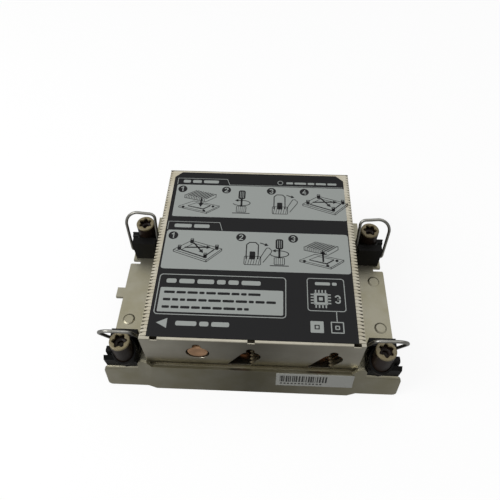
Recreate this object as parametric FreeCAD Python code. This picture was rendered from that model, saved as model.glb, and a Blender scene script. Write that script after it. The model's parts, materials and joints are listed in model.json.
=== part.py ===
"""Passive low-profile heatsink for a server processor.

A block of folded fins is soldered to the flange of a cold plate and fed by three bent heat
pipes, which lie in grooves of that plate.  Its flat lower face presses on the processor.
A cast frame carries the stack.  At its four corners sit moulded holders, each with a captive
six-lobe nut that floats on a retaining ring, and a sprung-looking wire bail that tilts on two pins.

Frame: the origin is the middle of the contact face of the cold plate and of the nut pattern,
+Z points up to the label, X is the air flow, -Y is the side with the tall rail.  Millimetres.
"""
import FreeCAD
import Part
import math
import os

Vector = FreeCAD.Vector

# ---------------------------------------------------------------- driving dimensions, millimetres
CONTACT_LENGTH = 64.0        # cold plate along X
CONTACT_WIDTH = 53.0         # cold plate along Y
PAD_HEIGHT = 5.5             # contact face to the underside of the flange
FLANGE_THICKNESS = 2.4       # the flange carries the fins and lies on the frame
FLANGE_MARGIN = 0.4          # fins overhang the flange by this much at both ends
FLANGE_BACK_Y = 43.4

FIN_LENGTH = 78.0            # along the air flow
FIN_HEIGHT = 19.1
FIN_THICKNESS = 0.3
FIN_PITCH = 1.435
FIN_COUNT = 58
FIN_FRONT_Y = -29.0          # outer face of the first fin
FIN_FLANGE_GAP = 0.03        # between a flange and the next fin
FIN_LATCH_WIDTH = 2.6        # notches where the folded flanges lock together
FIN_LATCH_X = (-34.0, -0.2, 36.1)
PIPE_RADIUS = 3.0
PIPE_GROOVE_CLEARANCE = 0.05
PIPE_FIN_CLEARANCE = 0.15
PIPE_LOW_Z = 3.7             # axis of the lower legs above the contact face
PIPE_END_CLEARANCE = 1.2     # between a drawn-in pipe end and the outer face of the last fin
PIPE_CAP_RADIUS = 3.7        # flat cap on the end of an upper leg
PIPE_CAP_THICKNESS = 1.2
PIPE_CAP_RECESS = 0.15       # behind the outer face of the last fin
PIPE_CAP_SIDES = 20
PIPE_CONE_LENGTH = 2.0
PIPE_CONE_RADIUS = 1.4
PIPE_SIDES = 12              # flat faces round a pipe, which keep the model light
PIPE_BEND_STEPS = 8
PIPE_BEND_INSET = 4.3       # bends stay this far behind the first fin
PIPE_BACK_BEND_Y = 30.1      # centre of the bend of the pipe that turns at the back
PIPE_TAIL_INSET = 3.0        # lower legs stop this far inside the cold plate
LEFT_PIPE_X = (-22.0, -19.4) # lower leg, upper leg
MIDDLE_PIPE_X = (-7.5, -0.5)
RIGHT_PIPE_X = (21.9, 28.9)
LEFT_PIPE_TOP_Z = 17.5
FRONT_PIPES_TOP_Z = 15.8
PIPE_HOLE_RADIUS = 4.2       # closed hole in the outer fins
PIPE_SLOT_RADIUS = 3.7       # end of the open slot in the outer fins
SOLDER_NOTCH_RADIUS = 1.5    # round notch on top of each hole, where the solder goes in

FRAME_HALF_LENGTH = 56.0     # end of the rail
WING_HALF_LENGTH = 54.6
WING_HALF_WIDTH = 17.0
DECK_THICKNESS = 1.5
DECK_WINDOW_MARGIN = 0.6     # around the cold plate
NECK_HALF_LENGTH = 50.5      # the sheet between a wing and a corner pad is this narrow
RELIEF_WIDTH = 1.9
TAIL_HALF_LENGTH = 46.0      # frame behind the back holders
TAIL_Y = 43.6
WALL_THICKNESS = 1.1
WALL_BOTTOM_Z = -6.5
WALL_LEAN = 10.0             # degrees, the rails splay outwards
RAIL_Y = -30.5               # outer face of the rail's ends at deck level
RAIL_JOGGLE = 1.0            # the middle of the rail stands this much further out
RAIL_MIDDLE_HALF = 37.0
RAIL_JOGGLE_LENGTH = 3.5
RAIL_RIM_Z = 7.9
EAR_TOP_Z = 9.4
EAR_INNER_X = 39.2
EAR_OUTER_X = 42.6
RAIL_BEND_RADIUS = 2.0       # outside of the bend between deck and rail ends
EDGE_RADIUS = 1.2
CORNER_RADIUS = 1.6

BUMP_RADIUS = 2.45
BUMP_HEIGHT = 0.6
BUMP_SPOTS = ((-50.2, -10.2), (50.4, -10.2), (50.0, 11.7))
TAB_LENGTH = 3.1
TAB_WIDTH = 4.5
TAB_CENTRE_Y = 2.35
NUT_SPACING_X = 94.4
NUT_SPACING_Y = 54.2
NUT_RADIUS = 3.73
NUT_TOP_Z = 21.2
NUT_BOTTOM_Z = 0.2
NUT_SHANK_RADIUS = 2.4
NUT_THREAD_RADIUS = 1.65
NUT_THREAD_DEPTH = 9.0
NUT_FLOAT = 2.5
NUT_DRIVE_TIP_RADIUS = 2.8   # six-pointed recess, centre to a tip
NUT_DRIVE_WAIST_RADIUS = 2.0
NUT_DRIVE_DEPTH = 3.4
RING_OUTER_RADIUS = 3.0
RING_THICKNESS = 0.6
RING_SIDES = 12              # snipped from strip, so its rim has flats
RING_CLEARANCE = 0.05

HOLDER_INNER_SIDE = 4.4      # from the nut axis to the side that faces the fins
HOLDER_OUTER_SIDE = 5.3
HOLDER_END_SIDE = 3.1        # to the side that faces the rail
HOLDER_WING_SIDE = 7.2       # to the side that faces the wing
HOLDER_BASE_HEIGHT = 4.0
HOLDER_TOWER_HEIGHT = 10.7
HOLDER_TOWER_START = 4.0     # from the nut axis to the tower
COLLAR_RADIUS = 4.6
COLLAR_HEIGHT = 5.2           # low side of the slanted rim; its high side meets the tower
COLLAR_UNDERCUT_FOOT = 1.0   # the collar overhangs the end side from here above the deck
COLLAR_UNDERCUT_HEIGHT = 2.8 # height of its lowest outer edge above the deck
NUT_HEAD_CLEARANCE = 0.2
NUT_SHANK_CLEARANCE = 0.1
HOLE_SIDES = 12
SHOULDER_HEIGHT = 2.4        # ledge that the nut rests on, above the deck
SHOULDER_CLEARANCE = 0.1
DECK_HOLE_RADIUS = 2.55
RING_RELIEF_RADIUS = 3.2      # pocket under the deck and in the rail, in which the ring moves
FIN_TO_FRAME = 0.15
HORN_WIDTH = 2.0
HORN_HEIGHT = 8.5
HORN_START = -1.0            # along Y from the nut axis, towards the wing
HORN_END = 1.5
HORN_OVERHANG = 1.2
BUFFER_HEIGHT = 7.0          # low block at the outer corner
BUFFER_START = -3.1
BUFFER_END = -1.8
BUFFER_OVERHANG = 2.1

BAIL_WIRE_RADIUS = 0.6
BAIL_SIDES = 8               # flat faces round the wire, which keep the model light
BAIL_PIVOT_OFFSET = 5.9      # along Y from the nut axis, towards the wing
BAIL_PIVOT_Z = 10.5
BAIL_LEAN = 15.0             # degrees outwards at rest
BAIL_INNER_LEG = -5.2        # along X from the nut axis, outwards is positive
BAIL_OUTER_LEG = 6.2
BAIL_BULGE = 7.0
BAIL_BULGE_HEIGHT = 13.0
BAIL_TOP_HEIGHT = 19.2
BAIL_SHOULDER_HEIGHT = 18.7
BAIL_CORNER_RADIUS = 2.2
BAIL_CROWN_X = 1.6
BAIL_PIN_LENGTH = 2.2
BAIL_PIN_CLEARANCE = 0.05    # the pin may turn in its hole

LABEL_THICKNESS = 0.2
LABEL_SIDE_MARGIN = 2.4      # strip of bare fins on both sides of the label
LABEL_FRONT_MARGIN = 1.7
LABEL_BACK_MARGIN = 1.2
LABEL_CHAMFER = 3.0

STICKER_LENGTH = 28.9
STICKER_HEIGHT = 7.8
STICKER_THICKNESS = 0.12
STICKER_CENTRE_X = 23.7
STICKER_TOP_DROP = 0.8       # below the rim of the rail

# ---------------------------------------------------------------- sizes that follow from them
DECK_TOP_Z = PAD_HEIGHT
DECK_BOTTOM_Z = DECK_TOP_Z - DECK_THICKNESS
FIN_BOTTOM_Z = DECK_TOP_Z + FLANGE_THICKNESS
FIN_TOP_Z = FIN_BOTTOM_Z + FIN_HEIGHT
FIN_BACK_Y = FIN_FRONT_Y + (FIN_COUNT - 1) * FIN_PITCH + FIN_THICKNESS
HALF_FIN = FIN_LENGTH / 2.0
NUT_X = NUT_SPACING_X / 2.0
NUT_Y = NUT_SPACING_Y / 2.0
LEAN_PER_MM = math.tan(math.radians(WALL_LEAN))
SHOULDER_Z = DECK_TOP_Z + SHOULDER_HEIGHT
RING_TOP_Z = DECK_BOTTOM_Z - NUT_FLOAT - SHOULDER_CLEARANCE
CORNERS = {
    "front_left": (-1, -1),
    "front_right": (1, -1),
    "back_left": (-1, 1),
    "back_right": (1, 1),
}


# ---------------------------------------------------------------- small geometry helpers
def box(x0, x1, y0, y1, z0, z1):
    """Return the box between two opposite corners."""
    return Part.makeBox(x1 - x0, y1 - y0, z1 - z0, Vector(x0, y0, z0))


def cylinder(base, axis, radius, length):
    """Return a cylinder from its base point along its axis."""
    return Part.makeCylinder(radius, length, base, axis)


def cone(base, axis, radius_a, radius_b, length):
    """Return a cone from its base point along its axis."""
    return Part.makeCone(radius_a, radius_b, length, base, axis)


def rounded_wire(corners):
    """Return a closed wire through (point, radius) corners, each rounded by a tangent arc."""
    count = len(corners)
    ends = []
    for index in range(count):
        point, radius = corners[index]
        before = (corners[index - 1][0] - point).normalize()
        after = (corners[(index + 1) % count][0] - point).normalize()
        if radius <= 0:
            ends.append((point, None, point))
            continue
        half = before.getAngle(after) / 2.0
        reach = radius / math.tan(half)
        middle = (before + after).normalize() * (radius / math.sin(half) - radius)
        ends.append((point + before * reach, point + middle, point + after * reach))
    edges = []
    for index in range(count):
        start, through, end = ends[index]
        if through is not None:
            edges.append(Part.Arc(start, through, end).toShape())
        following = ends[(index + 1) % count][0]
        if (following - end).Length > 1e-6:
            edges.append(Part.LineSegment(end, following).toShape())
    return Part.Wire(edges)


def prism_x(corners, x0, x1):
    """Extrude (y, z) or (y, z, radius) corners from x0 to x1."""
    points = [(Vector(x0, c[0], c[1]), c[2] if len(c) > 2 else 0.0) for c in corners]
    return Part.Face(rounded_wire(points)).extrude(Vector(x1 - x0, 0, 0))


def prism_y(corners, y0, y1):
    """Extrude (x, z) or (x, z, radius) corners from y0 to y1."""
    points = [(Vector(c[0], y0, c[1]), c[2] if len(c) > 2 else 0.0) for c in corners]
    return Part.Face(rounded_wire(points)).extrude(Vector(0, y1 - y0, 0))


def prism_z(corners, z0, z1, slant=0.0):
    """Extrude (x, y) or (x, y, radius) corners from z0 to z1; slant moves the top along Y."""
    points = [(Vector(c[0], c[1], z0), c[2] if len(c) > 2 else 0.0) for c in corners]
    return Part.Face(rounded_wire(points)).extrude(Vector(0, slant, z1 - z0))


def fuse_all(shapes):
    """Fuse shapes into one solid without seams."""
    result = shapes[0]
    if len(shapes) > 1:
        result = shapes[0].fuse(shapes[1:])
    return result.removeSplitter()


def faceted_tube(points, normal, radii, sides):
    """Return a many-sided tube along a flat path, mitred at each of its points.

    points lie in the plane with this normal; radii holds one radius for each point.
    """
    rings = []
    last = len(points) - 1
    for index, point in enumerate(points):
        before = (point - points[max(index - 1, 0)]) if index else (points[1] - point)
        after = (points[index + 1] - point) if index < last else (point - points[last - 1])
        before.normalize()
        after.normalize()
        along = (before + after).normalize()
        mitre = along.cross(normal) * (1.0 / math.cos(before.getAngle(after) / 2.0))
        ring = []
        for step in range(sides):
            turn = 2.0 * math.pi * (step + 0.5) / sides
            offset = mitre * math.cos(turn) + normal * math.sin(turn)
            ring.append(point + offset * radii[index])
        rings.append(ring)
    faces = [Part.Face(Part.makePolygon(ring + ring[:1])) for ring in (rings[0], rings[-1])]
    for ring_a, ring_b in zip(rings, rings[1:]):
        for step in range(sides):
            after_step = (step + 1) % sides
            corners = [ring_a[step], ring_a[after_step], ring_b[after_step], ring_b[step]]
            faces.append(Part.Face(Part.makePolygon(corners + corners[:1])))
    solid = Part.Solid(Part.Shell(faces))
    if solid.Volume < 0:
        solid.reverse()
    return solid


def polygon(radius, sides, phase=0.0):
    """Return the corners of a regular polygon round the origin."""
    turns = [2.0 * math.pi * (step + phase) / sides for step in range(sides)]
    return [(radius * math.cos(turn), radius * math.sin(turn)) for turn in turns]


def save(name, shape):
    """Write one node to its STEP file."""
    shape.exportStep("parts/" + name + ".step")


# ---------------------------------------------------------------- heat pipes
class Pipe:
    """A round heat pipe bent into a U, with one leg in the cold plate and one in the fins."""

    def __init__(self, name, low_x, top_x, top_z, turns_back):
        self.name = name
        self.low = Vector(low_x, 0, PIPE_LOW_Z)
        self.top = Vector(top_x, 0, top_z)
        self.middle = (self.low + self.top) * 0.5
        self.bend_radius = (self.top - self.low).Length / 2.0
        self.side = 1 if turns_back else -1
        if turns_back:
            self.bend_y = PIPE_BACK_BEND_Y
            self.top_end_y = FIN_FRONT_Y + PIPE_END_CLEARANCE
        else:
            apex = FIN_FRONT_Y + FIN_THICKNESS + PIPE_BEND_INSET + PIPE_RADIUS
            self.bend_y = apex + self.bend_radius
            self.top_end_y = FIN_BACK_Y - PIPE_END_CLEARANCE
        self.low_end_y = -self.side * (CONTACT_WIDTH / 2.0 - PIPE_TAIL_INSET)

    def bend_span(self, clearance):
        """Return the lowest and highest Y of the bend, with a clearance beyond its apex."""
        apex = self.bend_y + self.side * (self.bend_radius + PIPE_RADIUS + clearance)
        return min(apex, self.bend_y), max(apex, self.bend_y)

    def path(self):
        """Return the centre line, from the end of the lower leg to the end of the upper leg."""
        back = Vector(0, -self.side * PIPE_CONE_LENGTH, 0)
        low_end = Vector(self.low.x, self.low_end_y, self.low.z)
        top_end = Vector(self.top.x, self.top_end_y, self.top.z)
        across = (self.low - self.top) * 0.5
        ahead = Vector(0, self.side * self.bend_radius, 0)
        centre = Vector(self.middle.x, self.bend_y, self.middle.z)
        bend = []
        for step in range(PIPE_BEND_STEPS + 1):
            turn = math.pi * step / PIPE_BEND_STEPS
            bend.append(centre + across * math.cos(turn) + ahead * math.sin(turn))
        return [low_end, low_end - back] + bend + [top_end - back, top_end]

    def solid(self):
        """Return the whole pipe, drawn in at both ends, with a flat cap on its upper leg."""
        points = self.path()
        radii = [PIPE_RADIUS] * len(points)
        radii[0] = PIPE_CONE_RADIUS
        radii[-1] = PIPE_CONE_RADIUS
        normal = (self.top - self.low).cross(Vector(0, 1, 0)).normalize()
        tube = faceted_tube(points, normal, radii, PIPE_SIDES)
        outer_y = self.top_end_y + self.side * -(PIPE_END_CLEARANCE - PIPE_CAP_RECESS)
        y0, y1 = sorted((outer_y, outer_y + self.side * PIPE_CAP_THICKNESS))
        around = polygon(PIPE_CAP_RADIUS, PIPE_CAP_SIDES, 0.5)
        cap = prism_y([(self.top.x + x, self.top.z + z) for x, z in around], y0, y1)
        return fuse_all([tube, cap])

    def slot_corners(self, half_width, below_z):
        """Return the (x, z) corners of a straight slot round both legs, run down past below_z."""
        along = (self.top - self.low).normalize()
        across = Vector(along.z, 0, -along.x) * half_width
        head = self.top + along * half_width
        foot = self.low - along * half_width
        if foot.z > below_z:
            foot = self.low - along * ((self.low.z - below_z) / along.z)
        ring = (head + across, head - across, foot - across, foot + across)
        return [(p.x, p.z) for p in ring]

    def window(self, y0, y1, clearance):
        """Return the cutter that clears the bend between y0 and y1."""
        return prism_y(self.slot_corners(PIPE_RADIUS + clearance, self.low.z), y0, y1)

    def groove(self):
        """Return the cutter of the open groove in the cold plate."""
        radius = PIPE_RADIUS + PIPE_GROOVE_CLEARANCE
        y0, y1 = sorted((self.low_end_y - self.side * PIPE_GROOVE_CLEARANCE, self.bend_y))
        bed = cylinder(Vector(self.low.x, y0, self.low.z), Vector(0, 1, 0), radius, y1 - y0)
        opening = box(self.low.x - radius, self.low.x + radius, y0, y1, self.low.z,
                      FIN_BOTTOM_Z + 1.0)
        return bed.fuse(opening)


PIPES = (
    Pipe("heat_pipe_left", LEFT_PIPE_X[0], LEFT_PIPE_X[1], LEFT_PIPE_TOP_Z, True),
    Pipe("heat_pipe_middle", MIDDLE_PIPE_X[0], MIDDLE_PIPE_X[1], FRONT_PIPES_TOP_Z, False),
    Pipe("heat_pipe_right", RIGHT_PIPE_X[0], RIGHT_PIPE_X[1], FRONT_PIPES_TOP_Z, False),
)


# ---------------------------------------------------------------- fins
def fin_sheet(y_front):
    """Return one folded fin without holes: a plate with a flange at its top.

    The flange at its foot is soldered flat and hidden, and is not modelled.
    """
    y_flange = y_front + FIN_PITCH - FIN_FLANGE_GAP
    y_back = y_front + FIN_THICKNESS
    corners = (
        (y_front, FIN_BOTTOM_Z),
        (y_back, FIN_BOTTOM_Z),
        (y_back, FIN_TOP_Z - FIN_THICKNESS),
        (y_flange, FIN_TOP_Z - FIN_THICKNESS),
        (y_flange, FIN_TOP_Z),
        (y_front, FIN_TOP_Z),
    )
    return prism_x(corners, -HALF_FIN, HALF_FIN)


def square_hole(centre, radius, y0, y1):
    """Return a square prism that clears a circle of this radius."""
    return box(centre.x - radius, centre.x + radius, y0, y1, centre.z - radius, centre.z + radius)


def meets_bend(pipe, y_front):
    """Tell whether a fin that starts at y_front crosses the bend of a pipe."""
    low, high = pipe.bend_span(PIPE_FIN_CLEARANCE)
    return y_front < high and y_front + FIN_PITCH > low


def inner_fin(y_front):
    """Return a fin of the middle of the stack, pierced for the pipes."""
    fin = fin_sheet(y_front)
    y0 = y_front - 0.5
    y1 = y_front + FIN_PITCH - FIN_FLANGE_GAP / 2.0
    cutters = []
    for pipe in PIPES:
        past_bend = (y_front - pipe.bend_y) * pipe.side > 0
        if meets_bend(pipe, y_front):
            corners = pipe.slot_corners(PIPE_RADIUS + PIPE_FIN_CLEARANCE, FIN_BOTTOM_Z - 1.0)
            cutters.append(prism_y(corners, y0, y1))
        elif not past_bend:
            cutters.append(square_hole(pipe.top, PIPE_RADIUS + PIPE_FIN_CLEARANCE, y0, y1))
    return fin.cut(cutters)


def outer_fin_openings(y_front, closed_pipes, open_pipes):
    """Return the cutters of the round holes and open slots of an outer fin."""
    y0 = y_front - 0.5
    depth = FIN_PITCH
    axis = Vector(0, 1, 0)
    cutters = []
    for pipe, radius in [(p, PIPE_HOLE_RADIUS) for p in closed_pipes] + [
            (p, PIPE_SLOT_RADIUS) for p in open_pipes]:
        centre = Vector(pipe.top.x, y0, pipe.top.z)
        notch = centre + Vector(0, 0, radius + SOLDER_NOTCH_RADIUS * 0.6)
        cutters.append(cylinder(centre, axis, radius, depth))
        cutters.append(cylinder(notch, axis, SOLDER_NOTCH_RADIUS, depth))
        notch_half = SOLDER_NOTCH_RADIUS
        cutters.append(box(centre.x - notch_half, centre.x + notch_half, y0, y0 + depth,
                           centre.z, notch.z))
    for pipe in open_pipes:
        along = (pipe.low - pipe.top).normalize()
        across = Vector(along.z, 0, -along.x) * PIPE_SLOT_RADIUS
        foot = pipe.top + along * ((pipe.top.z - FIN_BOTTOM_Z + 1.0) / -along.z)
        ring = (pipe.top + across, pipe.top - across, foot - across, foot + across)
        cutters.append(prism_y([(p.x, p.z) for p in ring], y0, y0 + depth + FIN_PITCH))
    return cutters


def latch_notches(y_front):
    """Return the cutters of the notches in a top flange."""
    half = FIN_LATCH_WIDTH / 2.0
    z0 = FIN_TOP_Z - FIN_THICKNESS * 2.0
    return [box(x - half, x + half, y_front - 0.5, y_front + FIN_PITCH * 0.7, z0, FIN_TOP_Z + 0.5)
            for x in FIN_LATCH_X]


def make_front_fin():
    """Return the first fin: one closed hole and two slots for the bends behind it."""
    cutters = outer_fin_openings(FIN_FRONT_Y, PIPES[:1], PIPES[1:])
    return fin_sheet(FIN_FRONT_Y).cut(cutters + latch_notches(FIN_FRONT_Y))


def make_back_fin():
    """Return the last fin, a flat plate with closed holes for the two pipes that reach it."""
    y_front = FIN_BACK_Y - FIN_THICKNESS
    plate = box(-HALF_FIN, HALF_FIN, y_front, FIN_BACK_Y, FIN_BOTTOM_Z, FIN_TOP_Z)
    y0 = y_front - 1.0
    y1 = FIN_BACK_Y + 1.0
    return plate.cut([square_hole(pipe.top, PIPE_HOLE_RADIUS, y0, y1) for pipe in PIPES[1:]])


def make_fin_stack():
    """Return all fins between the first and the last as separate solids."""
    fins = [inner_fin(FIN_FRONT_Y + index * FIN_PITCH) for index in range(1, FIN_COUNT - 1)]
    return Part.makeCompound(fins)


# ---------------------------------------------------------------- plates under the fins
def make_cold_plate():
    """Return the block whose lower face presses on the processor, with the flange on its top."""
    half_x = CONTACT_LENGTH / 2.0
    half_y = CONTACT_WIDTH / 2.0
    pad = box(-half_x, half_x, -half_y, half_y, 0.0, PAD_HEIGHT)
    flange_x = HALF_FIN - FLANGE_MARGIN
    flange = box(-flange_x, flange_x, FIN_FRONT_Y + FLANGE_MARGIN, FLANGE_BACK_Y, DECK_TOP_Z,
                 FIN_BOTTOM_Z)
    cutters = []
    for pipe in PIPES:
        cutters.append(pipe.groove())
        low, high = pipe.bend_span(PIPE_FIN_CLEARANCE)
        cutters.append(pipe.window(low, high, PIPE_FIN_CLEARANCE))
    return fuse_all([pad, flange]).cut(cutters).removeSplitter()


# ---------------------------------------------------------------- frame
def rail_elevation():
    """Return the (x, z, radius) outline of the front rail seen from the front."""
    half = [
        (FRAME_HALF_LENGTH, WALL_BOTTOM_Z, CORNER_RADIUS),
        (FRAME_HALF_LENGTH, DECK_TOP_Z, CORNER_RADIUS),
        (EAR_OUTER_X, DECK_TOP_Z, 0.0),
        (EAR_OUTER_X, EAR_TOP_Z, EDGE_RADIUS),
        (EAR_INNER_X, EAR_TOP_Z, EDGE_RADIUS / 2.0),
        (RAIL_MIDDLE_HALF, RAIL_RIM_Z, EDGE_RADIUS / 2.0),
    ]
    return half + [(-x, z, r) for x, z, r in reversed(half)]


def make_front_rail():
    """Return the leaning front rail, with its middle joggled outwards and an ear at each side."""
    y_end = RAIL_Y - (DECK_TOP_Z - WALL_BOTTOM_Z) * LEAN_PER_MM
    y_middle = y_end - RAIL_JOGGLE
    x_end = FRAME_HALF_LENGTH
    x_joggle = RAIL_MIDDLE_HALF + RAIL_JOGGLE_LENGTH
    outer = [(-x_end, y_end), (-x_joggle, y_end), (-RAIL_MIDDLE_HALF, y_middle),
             (RAIL_MIDDLE_HALF, y_middle), (x_joggle, y_end), (x_end, y_end)]
    inner = [(x, y + WALL_THICKNESS) for x, y in reversed(outer)]
    height = EAR_TOP_Z + 1.0 - WALL_BOTTOM_Z
    wall = prism_z(outer + inner, WALL_BOTTOM_Z, WALL_BOTTOM_Z + height, height * LEAN_PER_MM)
    elevation = prism_y(rail_elevation(), RAIL_Y - 10.0, RAIL_Y + 10.0)
    return wall.common(elevation)


def rail_bend_cutter(x0, x1):
    """Return the cutter that rounds the bend between the deck and an end of the front rail."""
    lean = math.radians(WALL_LEAN)
    centre_y = RAIL_Y + RAIL_BEND_RADIUS / math.cos(lean) - RAIL_BEND_RADIUS * math.tan(lean)
    centre_z = DECK_TOP_Z - RAIL_BEND_RADIUS
    touch_y = centre_y - RAIL_BEND_RADIUS * math.cos(lean)
    touch_z = centre_z + RAIL_BEND_RADIUS * math.sin(lean)
    half = (math.pi / 2.0 + math.pi - lean) / 2.0
    through = Vector(x0, centre_y + RAIL_BEND_RADIUS * math.cos(half),
                     centre_z + RAIL_BEND_RADIUS * math.sin(half))
    top = Vector(x0, centre_y, DECK_TOP_Z)
    touch = Vector(x0, touch_y, touch_z)
    outside = Vector(x0, RAIL_Y - 2.0, touch_z)
    above = Vector(x0, RAIL_Y - 2.0, DECK_TOP_Z + 0.5)
    over = Vector(x0, centre_y, DECK_TOP_Z + 0.5)
    edges = [Part.Arc(top, through, touch).toShape()]
    for start, end in ((touch, outside), (outside, above), (above, over), (over, top)):
        edges.append(Part.LineSegment(start, end).toShape())
    return Part.Face(Part.Wire(edges)).extrude(Vector(x1 - x0, 0, 0))


def make_back_rail():
    """Return the plain leaning rail at the back."""
    y_outer = TAIL_Y + (DECK_TOP_Z - WALL_BOTTOM_Z) * LEAN_PER_MM
    corners = [
        (y_outer, WALL_BOTTOM_Z),
        (y_outer - WALL_THICKNESS, WALL_BOTTOM_Z),
        (TAIL_Y - WALL_THICKNESS, DECK_TOP_Z),
        (TAIL_Y, DECK_TOP_Z),
    ]
    half = TAIL_HALF_LENGTH
    outline = [(-half, WALL_BOTTOM_Z, CORNER_RADIUS), (half, WALL_BOTTOM_Z, CORNER_RADIUS),
               (half, DECK_TOP_Z + 5.0, 0.0), (-half, DECK_TOP_Z + 5.0, 0.0)]
    return prism_x(corners, -half, half).common(prism_y(outline, TAIL_Y - 10.0, TAIL_Y + 10.0))


def deck_outline():
    """Return the (x, y, radius) outline of the flat deck with its wings and corner pads."""
    pad_y = WING_HALF_WIDTH + RELIEF_WIDTH
    pad_end = NUT_Y + HOLDER_END_SIDE + EDGE_RADIUS
    pad_x = NUT_X + HOLDER_OUTER_SIDE + EDGE_RADIUS
    front_y = RAIL_Y + WALL_THICKNESS / 2.0
    return [
        (FRAME_HALF_LENGTH - CORNER_RADIUS, front_y, 0.0),
        (pad_x, front_y + CORNER_RADIUS, 0.0),
        (pad_x, -pad_y, 0.0),
        (NECK_HALF_LENGTH, -pad_y, 0.0),
        (NECK_HALF_LENGTH, -WING_HALF_WIDTH, 0.0),
        (WING_HALF_LENGTH, -WING_HALF_WIDTH, EDGE_RADIUS / 2.0),
        (WING_HALF_LENGTH, WING_HALF_WIDTH, EDGE_RADIUS / 2.0),
        (NECK_HALF_LENGTH, WING_HALF_WIDTH, 0.0),
        (NECK_HALF_LENGTH, pad_y, 0.0),
        (pad_x, pad_y, 0.0),
        (pad_x, pad_end, CORNER_RADIUS),
        (TAIL_HALF_LENGTH, pad_end, EDGE_RADIUS),
        (TAIL_HALF_LENGTH, TAIL_Y - WALL_THICKNESS / 2.0, 0.0),
    ]


def wing_bump(x, y):
    """Return a round raised spot on a wing."""
    foot = Vector(x, y, DECK_BOTTOM_Z)
    return cylinder(foot, Vector(0, 0, 1), BUMP_RADIUS, DECK_THICKNESS + BUMP_HEIGHT)


def make_base_frame():
    """Return the cast frame: deck, wings, corner pads, front rail with ears and back rail."""
    right = deck_outline()
    outline = right + [(-x, y, r) for x, y, r in reversed(right)]
    deck = prism_z(outline, DECK_BOTTOM_Z, DECK_TOP_Z)
    tab = box(-WING_HALF_LENGTH - TAB_LENGTH, -WING_HALF_LENGTH + 1.0,
              TAB_CENTRE_Y - TAB_WIDTH / 2.0, TAB_CENTRE_Y + TAB_WIDTH / 2.0,
              DECK_BOTTOM_Z, DECK_TOP_Z)
    ledge_y = RAIL_Y - RAIL_JOGGLE + WALL_THICKNESS / 2.0
    ledge = box(-RAIL_MIDDLE_HALF, RAIL_MIDDLE_HALF, ledge_y, RAIL_Y + WALL_THICKNESS,
                DECK_BOTTOM_Z, DECK_TOP_Z)
    frame = fuse_all([deck, tab, ledge, make_front_rail(), make_back_rail()]
                     + [wing_bump(x, y) for x, y in BUMP_SPOTS])
    window_x = CONTACT_LENGTH / 2.0 + DECK_WINDOW_MARGIN
    window_y = CONTACT_WIDTH / 2.0 + DECK_WINDOW_MARGIN
    low = min([-window_y] + [pipe.bend_span(DECK_WINDOW_MARGIN)[0] for pipe in PIPES])
    high = max([window_y] + [pipe.bend_span(DECK_WINDOW_MARGIN)[1] for pipe in PIPES])
    cutters = [box(-window_x, window_x, low, high, DECK_BOTTOM_Z, DECK_TOP_Z)]
    cutters.append(rail_bend_cutter(EAR_OUTER_X, FRAME_HALF_LENGTH + 1.0))
    cutters.append(rail_bend_cutter(-FRAME_HALF_LENGTH - 1.0, -EAR_OUTER_X))
    hole_radius = DECK_HOLE_RADIUS / math.cos(math.pi / HOLE_SIDES)
    for side_x, side_y in CORNERS.values():
        x = side_x * NUT_X
        y = side_y * NUT_Y
        hole = [(x + dx, y + dy) for dx, dy in polygon(hole_radius, HOLE_SIDES)]
        cutters.append(prism_z(hole, DECK_BOTTOM_Z, DECK_TOP_Z))
        if side_y < 0:
            relief = polygon(RING_RELIEF_RADIUS, RING_SIDES)
            corners = [(x + dx, y + dy) for dx, dy in relief]
            cutters.append(prism_z(corners, NUT_BOTTOM_Z - 1.0, DECK_BOTTOM_Z))
    cutters.append(box(-HALF_FIN - FIN_TO_FRAME, HALF_FIN + FIN_TO_FRAME,
                       FIN_FRONT_Y - FIN_TO_FRAME, TAIL_Y, FIN_BOTTOM_Z, FIN_TOP_Z))
    return frame.cut(cutters)


# ---------------------------------------------------------------- corner hardware
# A corner is modelled with its nut axis on the Z axis, X outwards and Y towards the wing, and is
# then mirrored and moved to its place.
def place_at_corner(shape, side_x, side_y):
    """Mirror a corner piece for its corner and move it to the nut axis."""
    centre = Vector(0, 0, 0)
    if side_x < 0:
        shape = shape.mirror(centre, Vector(1, 0, 0))
    if side_y > 0:
        shape = shape.mirror(centre, Vector(0, 1, 0))
    return shape.translated(Vector(side_x * NUT_X, side_y * NUT_Y, 0))


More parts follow.
